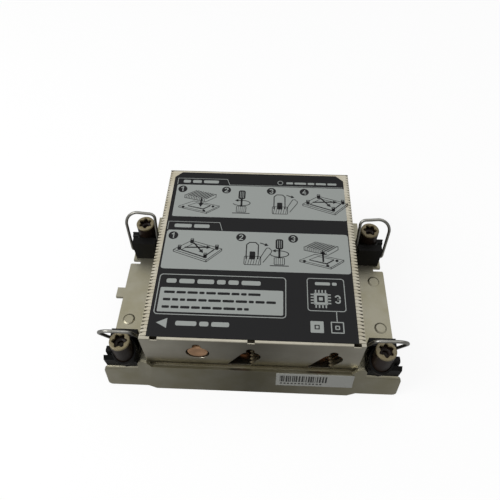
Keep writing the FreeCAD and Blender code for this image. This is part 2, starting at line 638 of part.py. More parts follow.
def make_holder():
    """Return the moulded corner holder round the nut, with its tower, horn and buffer."""
    base_z = DECK_TOP_Z
    base = prism_z([
        (-HOLDER_INNER_SIDE, -HOLDER_END_SIDE),
        (HOLDER_OUTER_SIDE, -HOLDER_END_SIDE),
        (HOLDER_OUTER_SIDE, HOLDER_WING_SIDE),
        (-HOLDER_INNER_SIDE, HOLDER_WING_SIDE),
    ], base_z, base_z + HOLDER_BASE_HEIGHT)
    tower = prism_z([
        (-HOLDER_INNER_SIDE, HOLDER_TOWER_START),
        (HOLDER_OUTER_SIDE, HOLDER_TOWER_START),
        (HOLDER_OUTER_SIDE, HOLDER_WING_SIDE),
        (-HOLDER_INNER_SIDE, HOLDER_WING_SIDE),
    ], base_z, base_z + HOLDER_TOWER_HEIGHT)
    up = Vector(0, 0, 1)
    collar = cylinder(Vector(0, 0, base_z), up, COLLAR_RADIUS, HOLDER_TOWER_HEIGHT)
    rim_run = HOLDER_TOWER_START + COLLAR_RADIUS
    rim_rise = HOLDER_TOWER_HEIGHT - COLLAR_HEIGHT
    above_rim = prism_x([
        (-COLLAR_RADIUS - 1.0, base_z + COLLAR_HEIGHT - rim_rise / rim_run),
        (HOLDER_TOWER_START, base_z + HOLDER_TOWER_HEIGHT),
        (HOLDER_TOWER_START, base_z + HOLDER_TOWER_HEIGHT + 1.0),
        (-COLLAR_RADIUS - 1.0, base_z + HOLDER_TOWER_HEIGHT + 1.0),
    ], -COLLAR_RADIUS - 1.0, COLLAR_RADIUS + 1.0)
    collar = collar.cut(above_rim)
    undercut = prism_x([
        (-HOLDER_END_SIDE, base_z),
        (-HOLDER_END_SIDE, base_z + COLLAR_UNDERCUT_FOOT),
        (-COLLAR_RADIUS, base_z + COLLAR_UNDERCUT_HEIGHT),
        (-COLLAR_RADIUS - 1.0, base_z + COLLAR_UNDERCUT_HEIGHT),
        (-COLLAR_RADIUS - 1.0, base_z),
    ], -COLLAR_RADIUS - 1.0, COLLAR_RADIUS + 1.0)
    collar = collar.cut(undercut)
    horn_top = base_z + HORN_HEIGHT
    horn = prism_x([
        (HORN_START, base_z),
        (HORN_END, base_z),
        (HORN_END, horn_top, 0.8),
        (HORN_START, horn_top, 0.8),
    ], HOLDER_OUTER_SIDE - HORN_WIDTH, HOLDER_OUTER_SIDE + HORN_OVERHANG)
    buffer_block = prism_x([
        (BUFFER_START, base_z),
        (BUFFER_END, base_z),
        (BUFFER_END, base_z + BUFFER_HEIGHT),
        (BUFFER_START, base_z + BUFFER_HEIGHT * 0.8),
    ], HOLDER_OUTER_SIDE - HORN_WIDTH, HOLDER_OUTER_SIDE + BUFFER_OVERHANG)
    body = fuse_all([base, tower, collar, horn, buffer_block])
    head_hole = cylinder(Vector(0, 0, SHOULDER_Z), up, NUT_RADIUS + NUT_HEAD_CLEARANCE,
                         HOLDER_TOWER_HEIGHT + 5.0)
    shank_radius = (NUT_SHANK_RADIUS + NUT_SHANK_CLEARANCE) / math.cos(math.pi / HOLE_SIDES)
    shank_hole = prism_z(polygon(shank_radius, HOLE_SIDES), base_z, SHOULDER_Z)
    pin_radius = BAIL_WIRE_RADIUS + BAIL_PIN_CLEARANCE
    reach = BAIL_PIN_LENGTH + 0.3
    corner_radius = pin_radius / math.cos(math.pi / BAIL_SIDES)
    around_pin = [(BAIL_PIVOT_OFFSET + y, BAIL_PIVOT_Z + z)
                  for y, z in polygon(corner_radius, BAIL_SIDES)]
    pin_holes = [
        cylinder(Vector(BAIL_INNER_LEG, BAIL_PIVOT_OFFSET, BAIL_PIVOT_Z), Vector(1, 0, 0),
                 pin_radius, reach),
        prism_x(around_pin, BAIL_OUTER_LEG - reach, BAIL_OUTER_LEG),
    ]
    return body.cut([head_hole, shank_hole] + pin_holes)


def drive_recess(z_top):
    """Return the cutter of the six-pointed drive recess."""
    tips = polygon(NUT_DRIVE_TIP_RADIUS, 6)
    waists = polygon(NUT_DRIVE_WAIST_RADIUS, 6, 0.5)
    star = [corner for pair in zip(tips, waists) for corner in pair]
    return prism_z(star, z_top - NUT_DRIVE_DEPTH, z_top + 1.0)


def make_nut():
    """Return the captive nut: head, shank, drive recess and threaded bore."""
    up = Vector(0, 0, 1)
    shoulder = SHOULDER_Z + SHOULDER_CLEARANCE
    head = cylinder(Vector(0, 0, shoulder), up, NUT_RADIUS, NUT_TOP_Z - shoulder)
    shank = cylinder(Vector(0, 0, NUT_BOTTOM_Z), up, NUT_SHANK_RADIUS, shoulder - NUT_BOTTOM_Z)
    bore = cylinder(Vector(0, 0, NUT_BOTTOM_Z), up, NUT_THREAD_RADIUS, NUT_THREAD_DEPTH)
    return fuse_all([head, shank]).cut([drive_recess(NUT_TOP_Z), bore])


def make_retaining_ring():
    """Return the flat ring on the nut's shank, which stops the nut from lifting out."""
    bottom = RING_TOP_Z - RING_THICKNESS
    inner_radius = (NUT_SHANK_RADIUS + RING_CLEARANCE) / math.cos(math.pi / RING_SIDES)
    disc = prism_z(polygon(RING_OUTER_RADIUS, RING_SIDES), bottom, RING_TOP_Z)
    return disc.cut(prism_z(polygon(inner_radius, RING_SIDES), bottom, RING_TOP_Z))


def arc_points(centre_u, centre_v, radius_u, radius_v, start, end, steps):
    """Return points along an elliptic arc in the plane of the bail, angles in degrees."""
    points = []
    for step in range(steps + 1):
        turn = math.radians(start + (end - start) * step / steps)
        u = centre_u + radius_u * math.cos(turn)
        v = centre_v + radius_v * math.sin(turn)
        points.append(Vector(u, 0, v))
    return points


def bail_path():
    """Return the centre line of the bail in its own plane, from its inner to its outer pin.

    The loop is a lopsided D: a straight inner leg, a tight corner, a bar that rises a little,
    a wide outer corner down to the bulge, and an outer leg that runs back in to its pin.
    """
    corner = BAIL_CORNER_RADIUS
    tight = arc_points(BAIL_INNER_LEG + corner, BAIL_SHOULDER_HEIGHT - corner, corner, corner,
                       180.0, 95.0, 3)
    wide = arc_points(BAIL_CROWN_X, BAIL_BULGE_HEIGHT, BAIL_BULGE - BAIL_CROWN_X,
                      BAIL_TOP_HEIGHT - BAIL_BULGE_HEIGHT, 86.0, 0.0, 6)
    last = [Vector(BAIL_OUTER_LEG, 0, 0), Vector(BAIL_OUTER_LEG - BAIL_PIN_LENGTH, 0, 0)]
    return [Vector(BAIL_INNER_LEG, 0, 0)] + tight + wide + last


def make_bail():
    """Return the wire bail leaning outwards at rest, with its two inward pins."""
    points = bail_path()
    radii = [BAIL_WIRE_RADIUS] * len(points)
    right = Vector(1, 0, 0)
    inner_pin = cylinder(Vector(BAIL_INNER_LEG - BAIL_WIRE_RADIUS, 0, 0), right,
                         BAIL_WIRE_RADIUS, BAIL_PIN_LENGTH + BAIL_WIRE_RADIUS)
    loop = faceted_tube(points, Vector(0, 1, 0), radii, BAIL_SIDES)
    bail = fuse_all([loop, inner_pin])
    bail.rotate(Vector(0, 0, 0), Vector(1, 0, 0), BAIL_LEAN)
    bail.translate(Vector(0, BAIL_PIVOT_OFFSET, BAIL_PIVOT_Z))
    return bail


# ---------------------------------------------------------------- label and sticker
def make_top_label():
    """Return the thin label on the fins, with its two back corners cut off."""
    half = HALF_FIN - LABEL_SIDE_MARGIN
    y0 = FIN_FRONT_Y + LABEL_FRONT_MARGIN
    y1 = FIN_BACK_Y - LABEL_BACK_MARGIN
    corners = [(-half, y0), (half, y0), (half, y1 - LABEL_CHAMFER), (half - LABEL_CHAMFER, y1),
               (-half + LABEL_CHAMFER, y1), (-half, y1 - LABEL_CHAMFER)]
    return prism_z(corners, FIN_TOP_Z, FIN_TOP_Z + LABEL_THICKNESS)


def make_front_sticker():
    """Return the small sticker on the leaning middle of the front rail."""
    half = STICKER_LENGTH / 2.0
    top = RAIL_RIM_Z - STICKER_TOP_DROP
    outline = [(STICKER_CENTRE_X + sx * half, z)
               for sx, z in ((-1, top - STICKER_HEIGHT), (1, top - STICKER_HEIGHT), (1, top), (-1, top))]
    y_top = RAIL_Y - RAIL_JOGGLE + (top + 1.0 - DECK_TOP_Z) * LEAN_PER_MM
    rise = STICKER_HEIGHT + 2.0
    y_bottom = y_top - rise * LEAN_PER_MM
    sheet = prism_x([(y_bottom - STICKER_THICKNESS, top + 1.0 - rise), (y_bottom, top + 1.0 - rise),
                     (y_top, top + 1.0), (y_top - STICKER_THICKNESS, top + 1.0)],
                    STICKER_CENTRE_X - half - 1.0, STICKER_CENTRE_X + half + 1.0)
    return sheet.common(prism_y(outline, RAIL_Y - 10.0, RAIL_Y + 10.0))


# ---------------------------------------------------------------- build
def main():
    """Build every node and write its STEP file."""
    os.makedirs("parts", exist_ok=True)
    save("cold_plate", make_cold_plate())
    save("base_frame", make_base_frame())
    for pipe in PIPES:
        save(pipe.name, pipe.solid())
    save("front_fin", make_front_fin())
    save("fin_stack", make_fin_stack())
    save("back_fin", make_back_fin())
    holder = make_holder()
    nut = make_nut()
    ring = make_retaining_ring()
    bail = make_bail()
    for name, (side_x, side_y) in CORNERS.items():
        save("nut_holder_" + name, place_at_corner(holder, side_x, side_y))
        save("captive_nut_" + name, place_at_corner(nut, side_x, side_y))
        save("retaining_ring_" + name, place_at_corner(ring, side_x, side_y))
        save("tilt_bail_" + name, place_at_corner(bail, side_x, side_y))
    save("top_label", make_top_label())
    save("front_sticker", make_front_sticker())


main()
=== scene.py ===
"""Looks of a passive server processor heatsink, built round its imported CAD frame.

The metal pieces are refined copies of the CAD nodes; the heat pipes, the captive nuts, the wire
bails and all print are meshes of their own.  Lengths in the constants are millimetres.
"""
from __future__ import annotations

import json
import logging
import math
from dataclasses import dataclass
from enum import Enum
from typing import Callable, Iterable, Sequence

import bmesh
import bpy
import numpy as np
from mathutils import Euler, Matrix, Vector
from mathutils.geometry import tessellate_polygon

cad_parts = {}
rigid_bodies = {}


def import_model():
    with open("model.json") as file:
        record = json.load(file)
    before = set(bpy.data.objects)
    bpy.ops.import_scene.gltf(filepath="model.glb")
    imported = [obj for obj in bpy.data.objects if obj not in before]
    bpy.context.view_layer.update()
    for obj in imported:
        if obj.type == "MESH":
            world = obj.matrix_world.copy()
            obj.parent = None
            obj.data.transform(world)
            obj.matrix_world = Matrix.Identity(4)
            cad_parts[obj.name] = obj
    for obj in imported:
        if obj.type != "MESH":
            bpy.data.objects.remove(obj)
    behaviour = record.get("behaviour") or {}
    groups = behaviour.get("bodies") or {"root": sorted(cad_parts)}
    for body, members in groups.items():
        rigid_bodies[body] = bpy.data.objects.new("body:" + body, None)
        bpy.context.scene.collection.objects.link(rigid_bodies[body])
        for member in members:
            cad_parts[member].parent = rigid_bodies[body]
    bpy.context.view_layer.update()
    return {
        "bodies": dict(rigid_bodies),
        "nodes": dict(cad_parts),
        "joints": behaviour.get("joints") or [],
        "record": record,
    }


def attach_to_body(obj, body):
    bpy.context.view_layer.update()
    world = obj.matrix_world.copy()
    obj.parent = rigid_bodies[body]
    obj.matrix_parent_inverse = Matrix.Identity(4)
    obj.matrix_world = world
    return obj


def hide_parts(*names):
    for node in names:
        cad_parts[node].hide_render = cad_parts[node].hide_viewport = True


LOG = logging.getLogger("heatsink")
MM = 0.001

# Camera: solved from the corners of the fin block.
CAMERA_MM = (3.083, -100.846, 177.417)
CAMERA_DEG = (36.5205, 0.2237, 2.4267)
CAMERA_LENS = 34.618

# Levels and outlines shared by several pieces.
FLOOR_Z = -6.55
DECK_Z = 5.5
FIN_BOTTOM_Z = 7.9
FIN_TOP_Z = 27.0
FOLD_Z = 26.3
SHEET = 0.3
LABEL_Z = 27.2
PRINT_STEP = 0.012
CLOUD_MM = 9.0
HALF_FIN = 39.0
FIN_FRONT_Y = -29.0
NUT_X = 47.2
NUT_Y = 27.1

# Heat pipes: (x, z) of the lower and of the upper leg.
PIPE_LEFT = ((-22.0, 3.7), (-19.4, 17.5))
PIPE_MIDDLE = ((-7.5, 3.7), (-0.5, 15.8))
PIPE_RIGHT = ((21.9, 3.7), (28.9, 15.8))


# ---------------------------------------------------------------- colour and materials
def linear(hex_colour: str) -> tuple[float, float, float, float]:
    """Turn an sRGB hex colour into linear RGBA.

    Args:
        hex_colour: six hex digits.
    Returns:
        Linear red, green, blue and an alpha of one.
    """
    channels = [int(hex_colour[i:i + 2], 16) / 255.0 for i in (0, 2, 4)]
    lin = [c / 12.92 if c <= 0.04045 else ((c + 0.055) / 1.055) ** 2.4 for c in channels]
    return (lin[0], lin[1], lin[2], 1.0)


class Grain(Enum):
    """The fine surface pattern of a finish."""

    NONE = "none"
    CAST = "cast"
    ROLLED = "rolled"
    MOULDED = "moulded"
    TURNED = "turned"


@dataclass(frozen=True)
class Finish:
    """One real material: its colour, its gloss and its fine pattern."""

    name: str
    colour: str
    metallic: float
    roughness: float
    grain: Grain = Grain.NONE
    grain_mm: float = 1.0
    grain_depth_mm: float = 0.01
    second_colour: str = ""
    rough_spread: float = 0.0
    specular: float = 0.5


def add_node(tree: bpy.types.NodeTree, kind: str, **values: object) -> bpy.types.Node:
    """Add a node and set its properties, or its inputs where a property has no such name.

    Args:
        tree: the node tree.
        kind: the node's type.
        values: property or input values; a node socket is linked; spaces are underscores.
    Returns:
        The new node.
    """
    node = tree.nodes.new(kind)
    for key, value in values.items():
        if hasattr(node, key):
            setattr(node, key, value)
            continue
        socket = node.inputs[int(key[2:])] if key.startswith("in") and key[2:].isdigit() \
            else node.inputs[key.replace("_", " ")]
        if isinstance(value, bpy.types.NodeSocket):
            tree.links.new(value, socket)
        else:
            socket.default_value = value
    return node


def grain_vector(tree: bpy.types.NodeTree, finish: Finish) -> bpy.types.NodeSocket:
    """Divide object coordinates by the real size of one grain, 25 times longer if rolled."""
    coords = add_node(tree, "ShaderNodeTexCoord")
    size = finish.grain_mm * MM
    scale = (1 / (size * (25 if finish.grain is Grain.ROLLED else 1)), 1 / size, 1 / size)
    mapping = add_node(tree, "ShaderNodeMapping", Vector=coords.outputs["Object"], Scale=scale)
    return mapping.outputs["Vector"]


def fresh_tree(owner: bpy.types.Material | bpy.types.World) -> bpy.types.NodeTree:
    """Turn the nodes of a material or a world on and return its emptied tree."""
    owner.use_nodes = True
    owner.node_tree.nodes.clear()
    return owner.node_tree


def make_material(finish: Finish) -> bpy.types.Material:
    """Build the node material of a finish.

    The base colour goes from the first to the second colour with clouds of CLOUD_MM, and the
    roughness and the bump follow the grain.

    Args:
        finish: the finish.
    Returns:
        A material named after the real material.
    """
    material = bpy.data.materials.new(finish.name)
    tree = fresh_tree(material)
    shader = add_node(tree, "ShaderNodeBsdfPrincipled", Base_Color=linear(finish.colour),
                      Metallic=finish.metallic, Roughness=finish.roughness,
                      Specular_IOR_Level=finish.specular)
    add_node(tree, "ShaderNodeOutputMaterial", Surface=shader.outputs["BSDF"])
    if finish.grain is Grain.NONE:
        return material
    vector = grain_vector(tree, finish)
    noise = add_node(tree, "ShaderNodeTexNoise", Vector=vector, Scale=1.0, Detail=3.0)
    if finish.second_colour:
        coords = add_node(tree, "ShaderNodeTexCoord")
        cloud = add_node(tree, "ShaderNodeTexNoise", Vector=coords.outputs["Object"],
                         Scale=1 / (CLOUD_MM * MM), Detail=4.0)
        ramp = add_node(tree, "ShaderNodeMapRange", Value=cloud.outputs["Fac"], From_Min=0.35,
                        From_Max=0.65)
        mix = add_node(tree, "ShaderNodeMix", data_type="RGBA", in0=ramp.outputs["Result"],
                       in6=linear(finish.colour), in7=linear(finish.second_colour))
        tree.links.new(mix.outputs[2], shader.inputs["Base Color"])
    if finish.rough_spread:
        spread = add_node(tree, "ShaderNodeMapRange", Value=noise.outputs["Fac"],
                          To_Min=finish.roughness - finish.rough_spread,
                          To_Max=finish.roughness + finish.rough_spread)
        tree.links.new(spread.outputs["Result"], shader.inputs["Roughness"])
    bump = add_node(tree, "ShaderNodeBump", Height=noise.outputs["Fac"], Strength=1.0,
                    Distance=finish.grain_depth_mm * MM)
    tree.links.new(bump.outputs["Normal"], shader.inputs["Normal"])
    return material


class Finishes:
    """Every finish of the part, built once."""

    # Rolled sheet under nickel: dull warm silver with streaks 0.35 mm wide along the sheet.
    FIN = Finish("nickel_plated_fin_sheet", "bdb8a9", 1.0, 0.34, Grain.ROLLED, 0.35, 0.0025,
                 "aea793", 0.05)
    # The same sheet seen face on: smooth, with slow waves 3 mm long that bend its highlights.
    FRONT_FIN = Finish("nickel_plated_outer_fin", "b2ae9f", 1.0, 0.30, Grain.CAST, 3.0, 0.02,
                       "a6a192", 0.04)
    # Casting under nickel: a 0.45 mm skin grain spreads its highlights into a yellowish grey.
    FRAME = Finish("nickel_plated_casting", "a29e8d", 1.0, 0.42, Grain.CAST, 0.45, 0.006,
                   "98937d", 0.05)
    # Milled pad under nickel: the sharpest mirror of the part, with 0.3 mm lines; its colour is
    # darkened below the plating's own tone, a painted shade for where it shows through the fin
    # slots.
    SHADED_PLATE = Finish("nickel_plated_copper", "968f7e", 1.0, 0.25, Grain.ROLLED, 0.3, 0.001)
    # Bare drawn tube: deep reddish metal with brown clouds of tarnish.
    COPPER = Finish("copper_tube", "a8714e", 1.0, 0.32, Grain.CAST, 1.2, 0.004, "8a5233", 0.06)
    # Pressed cap, oxidised: a pale matt peach that hardly mirrors, dented over 0.7 mm.
    CAP = Finish("pressed_copper_cap", "e0b48d", 0.1, 0.45, Grain.CAST, 0.7, 0.02, "a67f5c",
                 0.06)
    # Drawn wire: neutral grey metal with one soft highlight along its length.
    WIRE = Finish("drawn_spring_wire", "a2a19b", 1.0, 0.38, Grain.CAST, 0.4, 0.002, "908f88",
                  0.05)
    # Zinc on steel: paler and cooler than the nickel.
    STEEL = Finish("zinc_plated_steel", "b8b8b4", 1.0, 0.35, Grain.CAST, 0.3, 0.002)
    # Glass-filled polymer: near black, with a faint sheen broken by 0.18 mm texture.
    BLACK = Finish("black_moulded_polymer", "070606", 0.0, 0.5, Grain.MOULDED, 0.18, 0.006,
                   "0b0a09", 0.05, 0.14)
    # Turned polymer: dark warm brown, a little glossier, with 0.25 mm tool marks.
    BROWN = Finish("brown_machined_polymer", "241a14", 0.0, 0.42, Grain.TURNED, 0.25, 0.003,
                   "1c140f", 0.04, 0.2)
    # The same polymer, paler on the head's rim: satin olive.
    RIM = Finish("olive_rim_polymer", "776d51", 0.0, 0.38, Grain.TURNED, 0.25, 0.003,
                 "665c43", 0.04, 0.45)
    # Printed film and its inks: flat, even tones with almost no highlight.
    LABEL = Finish("label_film_charcoal", "1a1a1b", 0.0, 0.5, Grain.MOULDED, 0.5, 0.0015,
                   specular=0.15)
    LABEL_LIGHT = Finish("label_ink_light", "8e928f", 0.0, 0.5, specular=0.15)
    LABEL_DARK = Finish("label_ink_dark", "1b1b1c", 0.0, 0.5, specular=0.15)
    # Coated paper and its ink: matt light grey with soft dark bars.
    STICKER = Finish("sticker_paper", "a4a5a0", 0.0, 0.5, specular=0.2)
    STICKER_INK = Finish("sticker_ink", "40403e", 0.0, 0.5, specular=0.2)


_materials: dict[str, bpy.types.Material] = {}


def material_of(finish: Finish) -> bpy.types.Material:
    """Return the material of a finish, building it the first time."""
    if finish.name not in _materials:
        _materials[finish.name] = make_material(finish)
    return _materials[finish.name]


# ---------------------------------------------------------------- mesh helpers
def link_mesh(name: str, mesh: bpy.types.Mesh, finish: Finish, smooth: bool) -> bpy.types.Object:
    """Make an object at the origin from a mesh, in one finish."""
    mesh.materials.clear()
    mesh.materials.append(material_of(finish))
    mesh.polygons.foreach_set("use_smooth", [smooth] * len(mesh.polygons))
    piece = bpy.data.objects.new(name, mesh)
    bpy.context.scene.collection.objects.link(piece)
    return piece


def attach(piece: bpy.types.Object, body: str, node: str = "") -> None:
    """Let a piece ride on a CAD body, and hide the CAD node it stands for if one is named."""
    if node:
        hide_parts(node)
    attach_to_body(piece, body)


def mesh_piece(name: str, points: np.ndarray, faces: Iterable[Sequence[int]], finish: Finish,
               smooth: bool = True, sharp_deg: float = 40.0) -> bpy.types.Object:
    """Make an object from points in millimetres and faces.

    Args:
        name: the object's name.
        points: (n, 3) array in millimetres.
        faces: point indices of each face.
        finish: the finish.
        smooth: whether faces are shaded smooth.
        sharp_deg: edges that turn by more than this stay sharp.
    Returns:
        The object.
    """
    mesh = bpy.data.meshes.new(name)
    mesh.from_pydata((np.asarray(points, float) * MM).tolist(), [], [list(f) for f in faces])
    if smooth:
        mark_sharp(mesh, sharp_deg)
    mesh.validate()
    return link_mesh(name, mesh, finish, smooth)


def shade_edges(bm: bmesh.types.BMesh, sharp_deg: float) -> None:
    """Make normals consistent and keep the edges sharp that turn by more than an angle."""
    bmesh.ops.recalc_face_normals(bm, faces=bm.faces)
    limit = math.radians(sharp_deg)
    for edge in bm.edges:
        edge.smooth = edge.is_manifold and edge.calc_face_angle(0.0) < limit


def mark_sharp(mesh: bpy.types.Mesh, sharp_deg: float) -> None:
    """Apply shade_edges to a mesh."""
    bm = bmesh.new()
    bm.from_mesh(mesh)
    shade_edges(bm, sharp_deg)
    bm.to_mesh(mesh)
    bm.free()


def ring_faces(rings: int, around: int) -> list[list[int]]:
    """Return the quads between neighbouring closed rings of points."""
    low = np.arange(rings - 1)[:, None] * around
    here = np.arange(around)
    there = (here + 1) % around
    quads = [low + here, low + there, low + around + there, low + around + here]
    return np.stack(quads, axis=-1).reshape(-1, 4).tolist()


def capped_faces(rings: int, around: int) -> list[list[int]]:
    """Return the quads between rings, with a face over the first and over the last ring."""
    points = list(range(rings * around))
    return ring_faces(rings, around) + [points[:around][::-1], points[-around:]]


def polar_solid(name: str, rings: Sequence[tuple[Callable[[np.ndarray], np.ndarray] | float,
                                                 float]], centre: tuple[float, float],
                finish: Finish, around: int = 96, hollow: bool = False) -> bpy.types.Object:
    """Make a closed solid from rings about a vertical axis.

    A point is the centre plus the ring's radius times the cosine and sine of its angle.

    Args:
        name: the object's name.
        rings: for each ring its radius, plain or as a function of the angle, and its height.
        centre: X and Y of the axis.
        finish: the finish.
        around: points in each ring.
        hollow: join the last ring to the first instead of closing both with a face.
    Returns:
        The object.
    """
    angle = np.linspace(0, 2 * math.pi, around, endpoint=False)
    points = []
    for radius, z in rings:
        r = radius(angle) if callable(radius) else np.full(around, radius)
        points.append(np.stack([centre[0] + r * np.cos(angle), centre[1] + r * np.sin(angle),
                                np.full(around, z)], axis=1))
    faces = capped_faces(len(rings), around)
    if hollow:
        around_all = np.array(ring_faces(len(rings) + 1, around))
        faces = (around_all % (len(rings) * around)).tolist()
    return mesh_piece(name, np.concatenate(points), faces, finish)


def tube(name: str, path: np.ndarray, radii: np.ndarray | float, finish: Finish,
         around: int = 24) -> bpy.types.Object:
    """Sweep a circle along a path without twisting it.

    Each ring's side direction is the last one less its part along the path.

    Args:
        name: the object's name.
        path: (n, 3) points in millimetres.
        radii: one radius, or one for each point.
        finish: the finish.
        around: points in each ring.
    Returns:
        The object.
    """
    path = np.asarray(path, float)
    radii = np.broadcast_to(np.asarray(radii, float), (len(path),))
    tangent = np.gradient(path, axis=0)
    tangent /= np.linalg.norm(tangent, axis=1, keepdims=True)
    side = np.cross(tangent[0], [0.31, 0.52, 0.79])
    side /= np.linalg.norm(side)
    angle = np.linspace(0, 2 * math.pi, around, endpoint=False)[:, None]
    rings = []
    for point, direction, radius in zip(path, tangent, radii):
        side = side - direction * np.dot(side, direction)
        side /= np.linalg.norm(side)
        other = np.cross(direction, side)
        rings.append(point + radius * (np.cos(angle) * side + np.sin(angle) * other))
    return mesh_piece(name, np.concatenate(rings), capped_faces(len(path), around), finish)


def disc_stack(name: str, centres: np.ndarray, radii: Sequence[float], finish: Finish,
               around: int) -> bpy.types.Object:
    """Make a closed solid from circles that all face along Y, each with its centre and radius."""
    angle = np.linspace(0, 2 * math.pi, around, endpoint=False)
    rings = [np.stack([c[0] + r * np.cos(angle), np.full(around, c[1]),
                       c[2] + r * np.sin(angle)], axis=1) for c, r in zip(centres, radii)]
    return mesh_piece(name, np.concatenate(rings), capped_faces(len(rings), around), finish)


def refined_copy(frame: dict, node: str, finish: Finish, bevel_mm: float,
                 sharp_deg: float = 32.0,
                 reshape: Callable[[np.ndarray], np.ndarray] | None = None) -> bpy.types.Object:
    """Copy a CAD node, merge its flat faces and round its edges a little.

    Args:
        node: the CAD node.
        finish: the finish of the copy.
        bevel_mm: the width of the rounded edges; zero leaves them sharp.
        sharp_deg: only edges that turn by more than this are rounded.
        reshape: moves the (n, 3) points in millimetres before the edges are rounded.
    Returns:
        The copy, which stands for the node.
    """
    bm = bmesh.new()
    bm.from_mesh(frame["nodes"][node].data)
    bmesh.ops.remove_doubles(bm, verts=bm.verts, dist=1e-6)
    bmesh.ops.dissolve_limit(bm, angle_limit=math.radians(0.6), verts=bm.verts, edges=bm.edges)
    mesh = bpy.data.meshes.new(node + "_look")
    # The points are written back in place: a round trip through a mesh would renew the faces'
    # normals, and the bevel below would then round other edges.
    if reshape is not None:
        moved = reshape(np.array([vert.co for vert in bm.verts]) / MM) * MM
        for vert, place in zip(bm.verts, moved.tolist()):
            vert.co = place
    limit = math.radians(sharp_deg)
    edges = [e for e in bm.edges if e.is_manifold and e.calc_face_angle(0.0) > limit]
    if bevel_mm > 0:
        bmesh.ops.bevel(bm, geom=edges, offset=bevel_mm * MM, segments=2, profile=0.5,
                        affect="EDGES", clamp_overlap=True)
    shade_edges(bm, 40.0)
    bm.to_mesh(mesh)
    bm.free()
    piece = link_mesh(node + "_look", mesh, finish, True)
    weighted = piece.modifiers.new("face_weighted_normals", "WEIGHTED_NORMAL")
    weighted.keep_sharp = True
    weighted.weight = 90
    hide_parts(node)
    return piece


def arc(x: float, y: float, radius: float | tuple[float, float], start: float, end: float,
        steps: int) -> np.ndarray:
    """Return (n, 2) points from one angle to another, in degrees, both included.

    A point is the centre plus the radius, or both half axes, times cosine and sine.
    """
    turn = np.radians(np.linspace(start, end, steps))
    return np.stack([np.cos(turn), np.sin(turn)], axis=1) * radius + (x, y)


def rounded_rect(x0: float, y0: float, x1: float, y1: float, radius: float,
                 steps: int = 6) -> np.ndarray:
    """Return the outline of a rounded rectangle, anticlockwise: a quarter circle per corner."""
    radius = max(min(radius, (x1 - x0) / 2, (y1 - y0) / 2), 1e-3)
    corners = ((x1 - radius, y0 + radius, -90), (x1 - radius, y1 - radius, 0),
               (x0 + radius, y1 - radius, 90), (x0 + radius, y0 + radius, 180))
    return np.concatenate([arc(cx, cy, radius, start, start + 90, steps)
                           for cx, cy, start in corners])


def circle_outline(x: float, y: float, radius: float, steps: int = 28) -> np.ndarray:
    """Return the outline of a circle, anticlockwise, as (n, 2) points."""
    return arc(x, y, radius, 0, 360 - 360 / steps, steps)


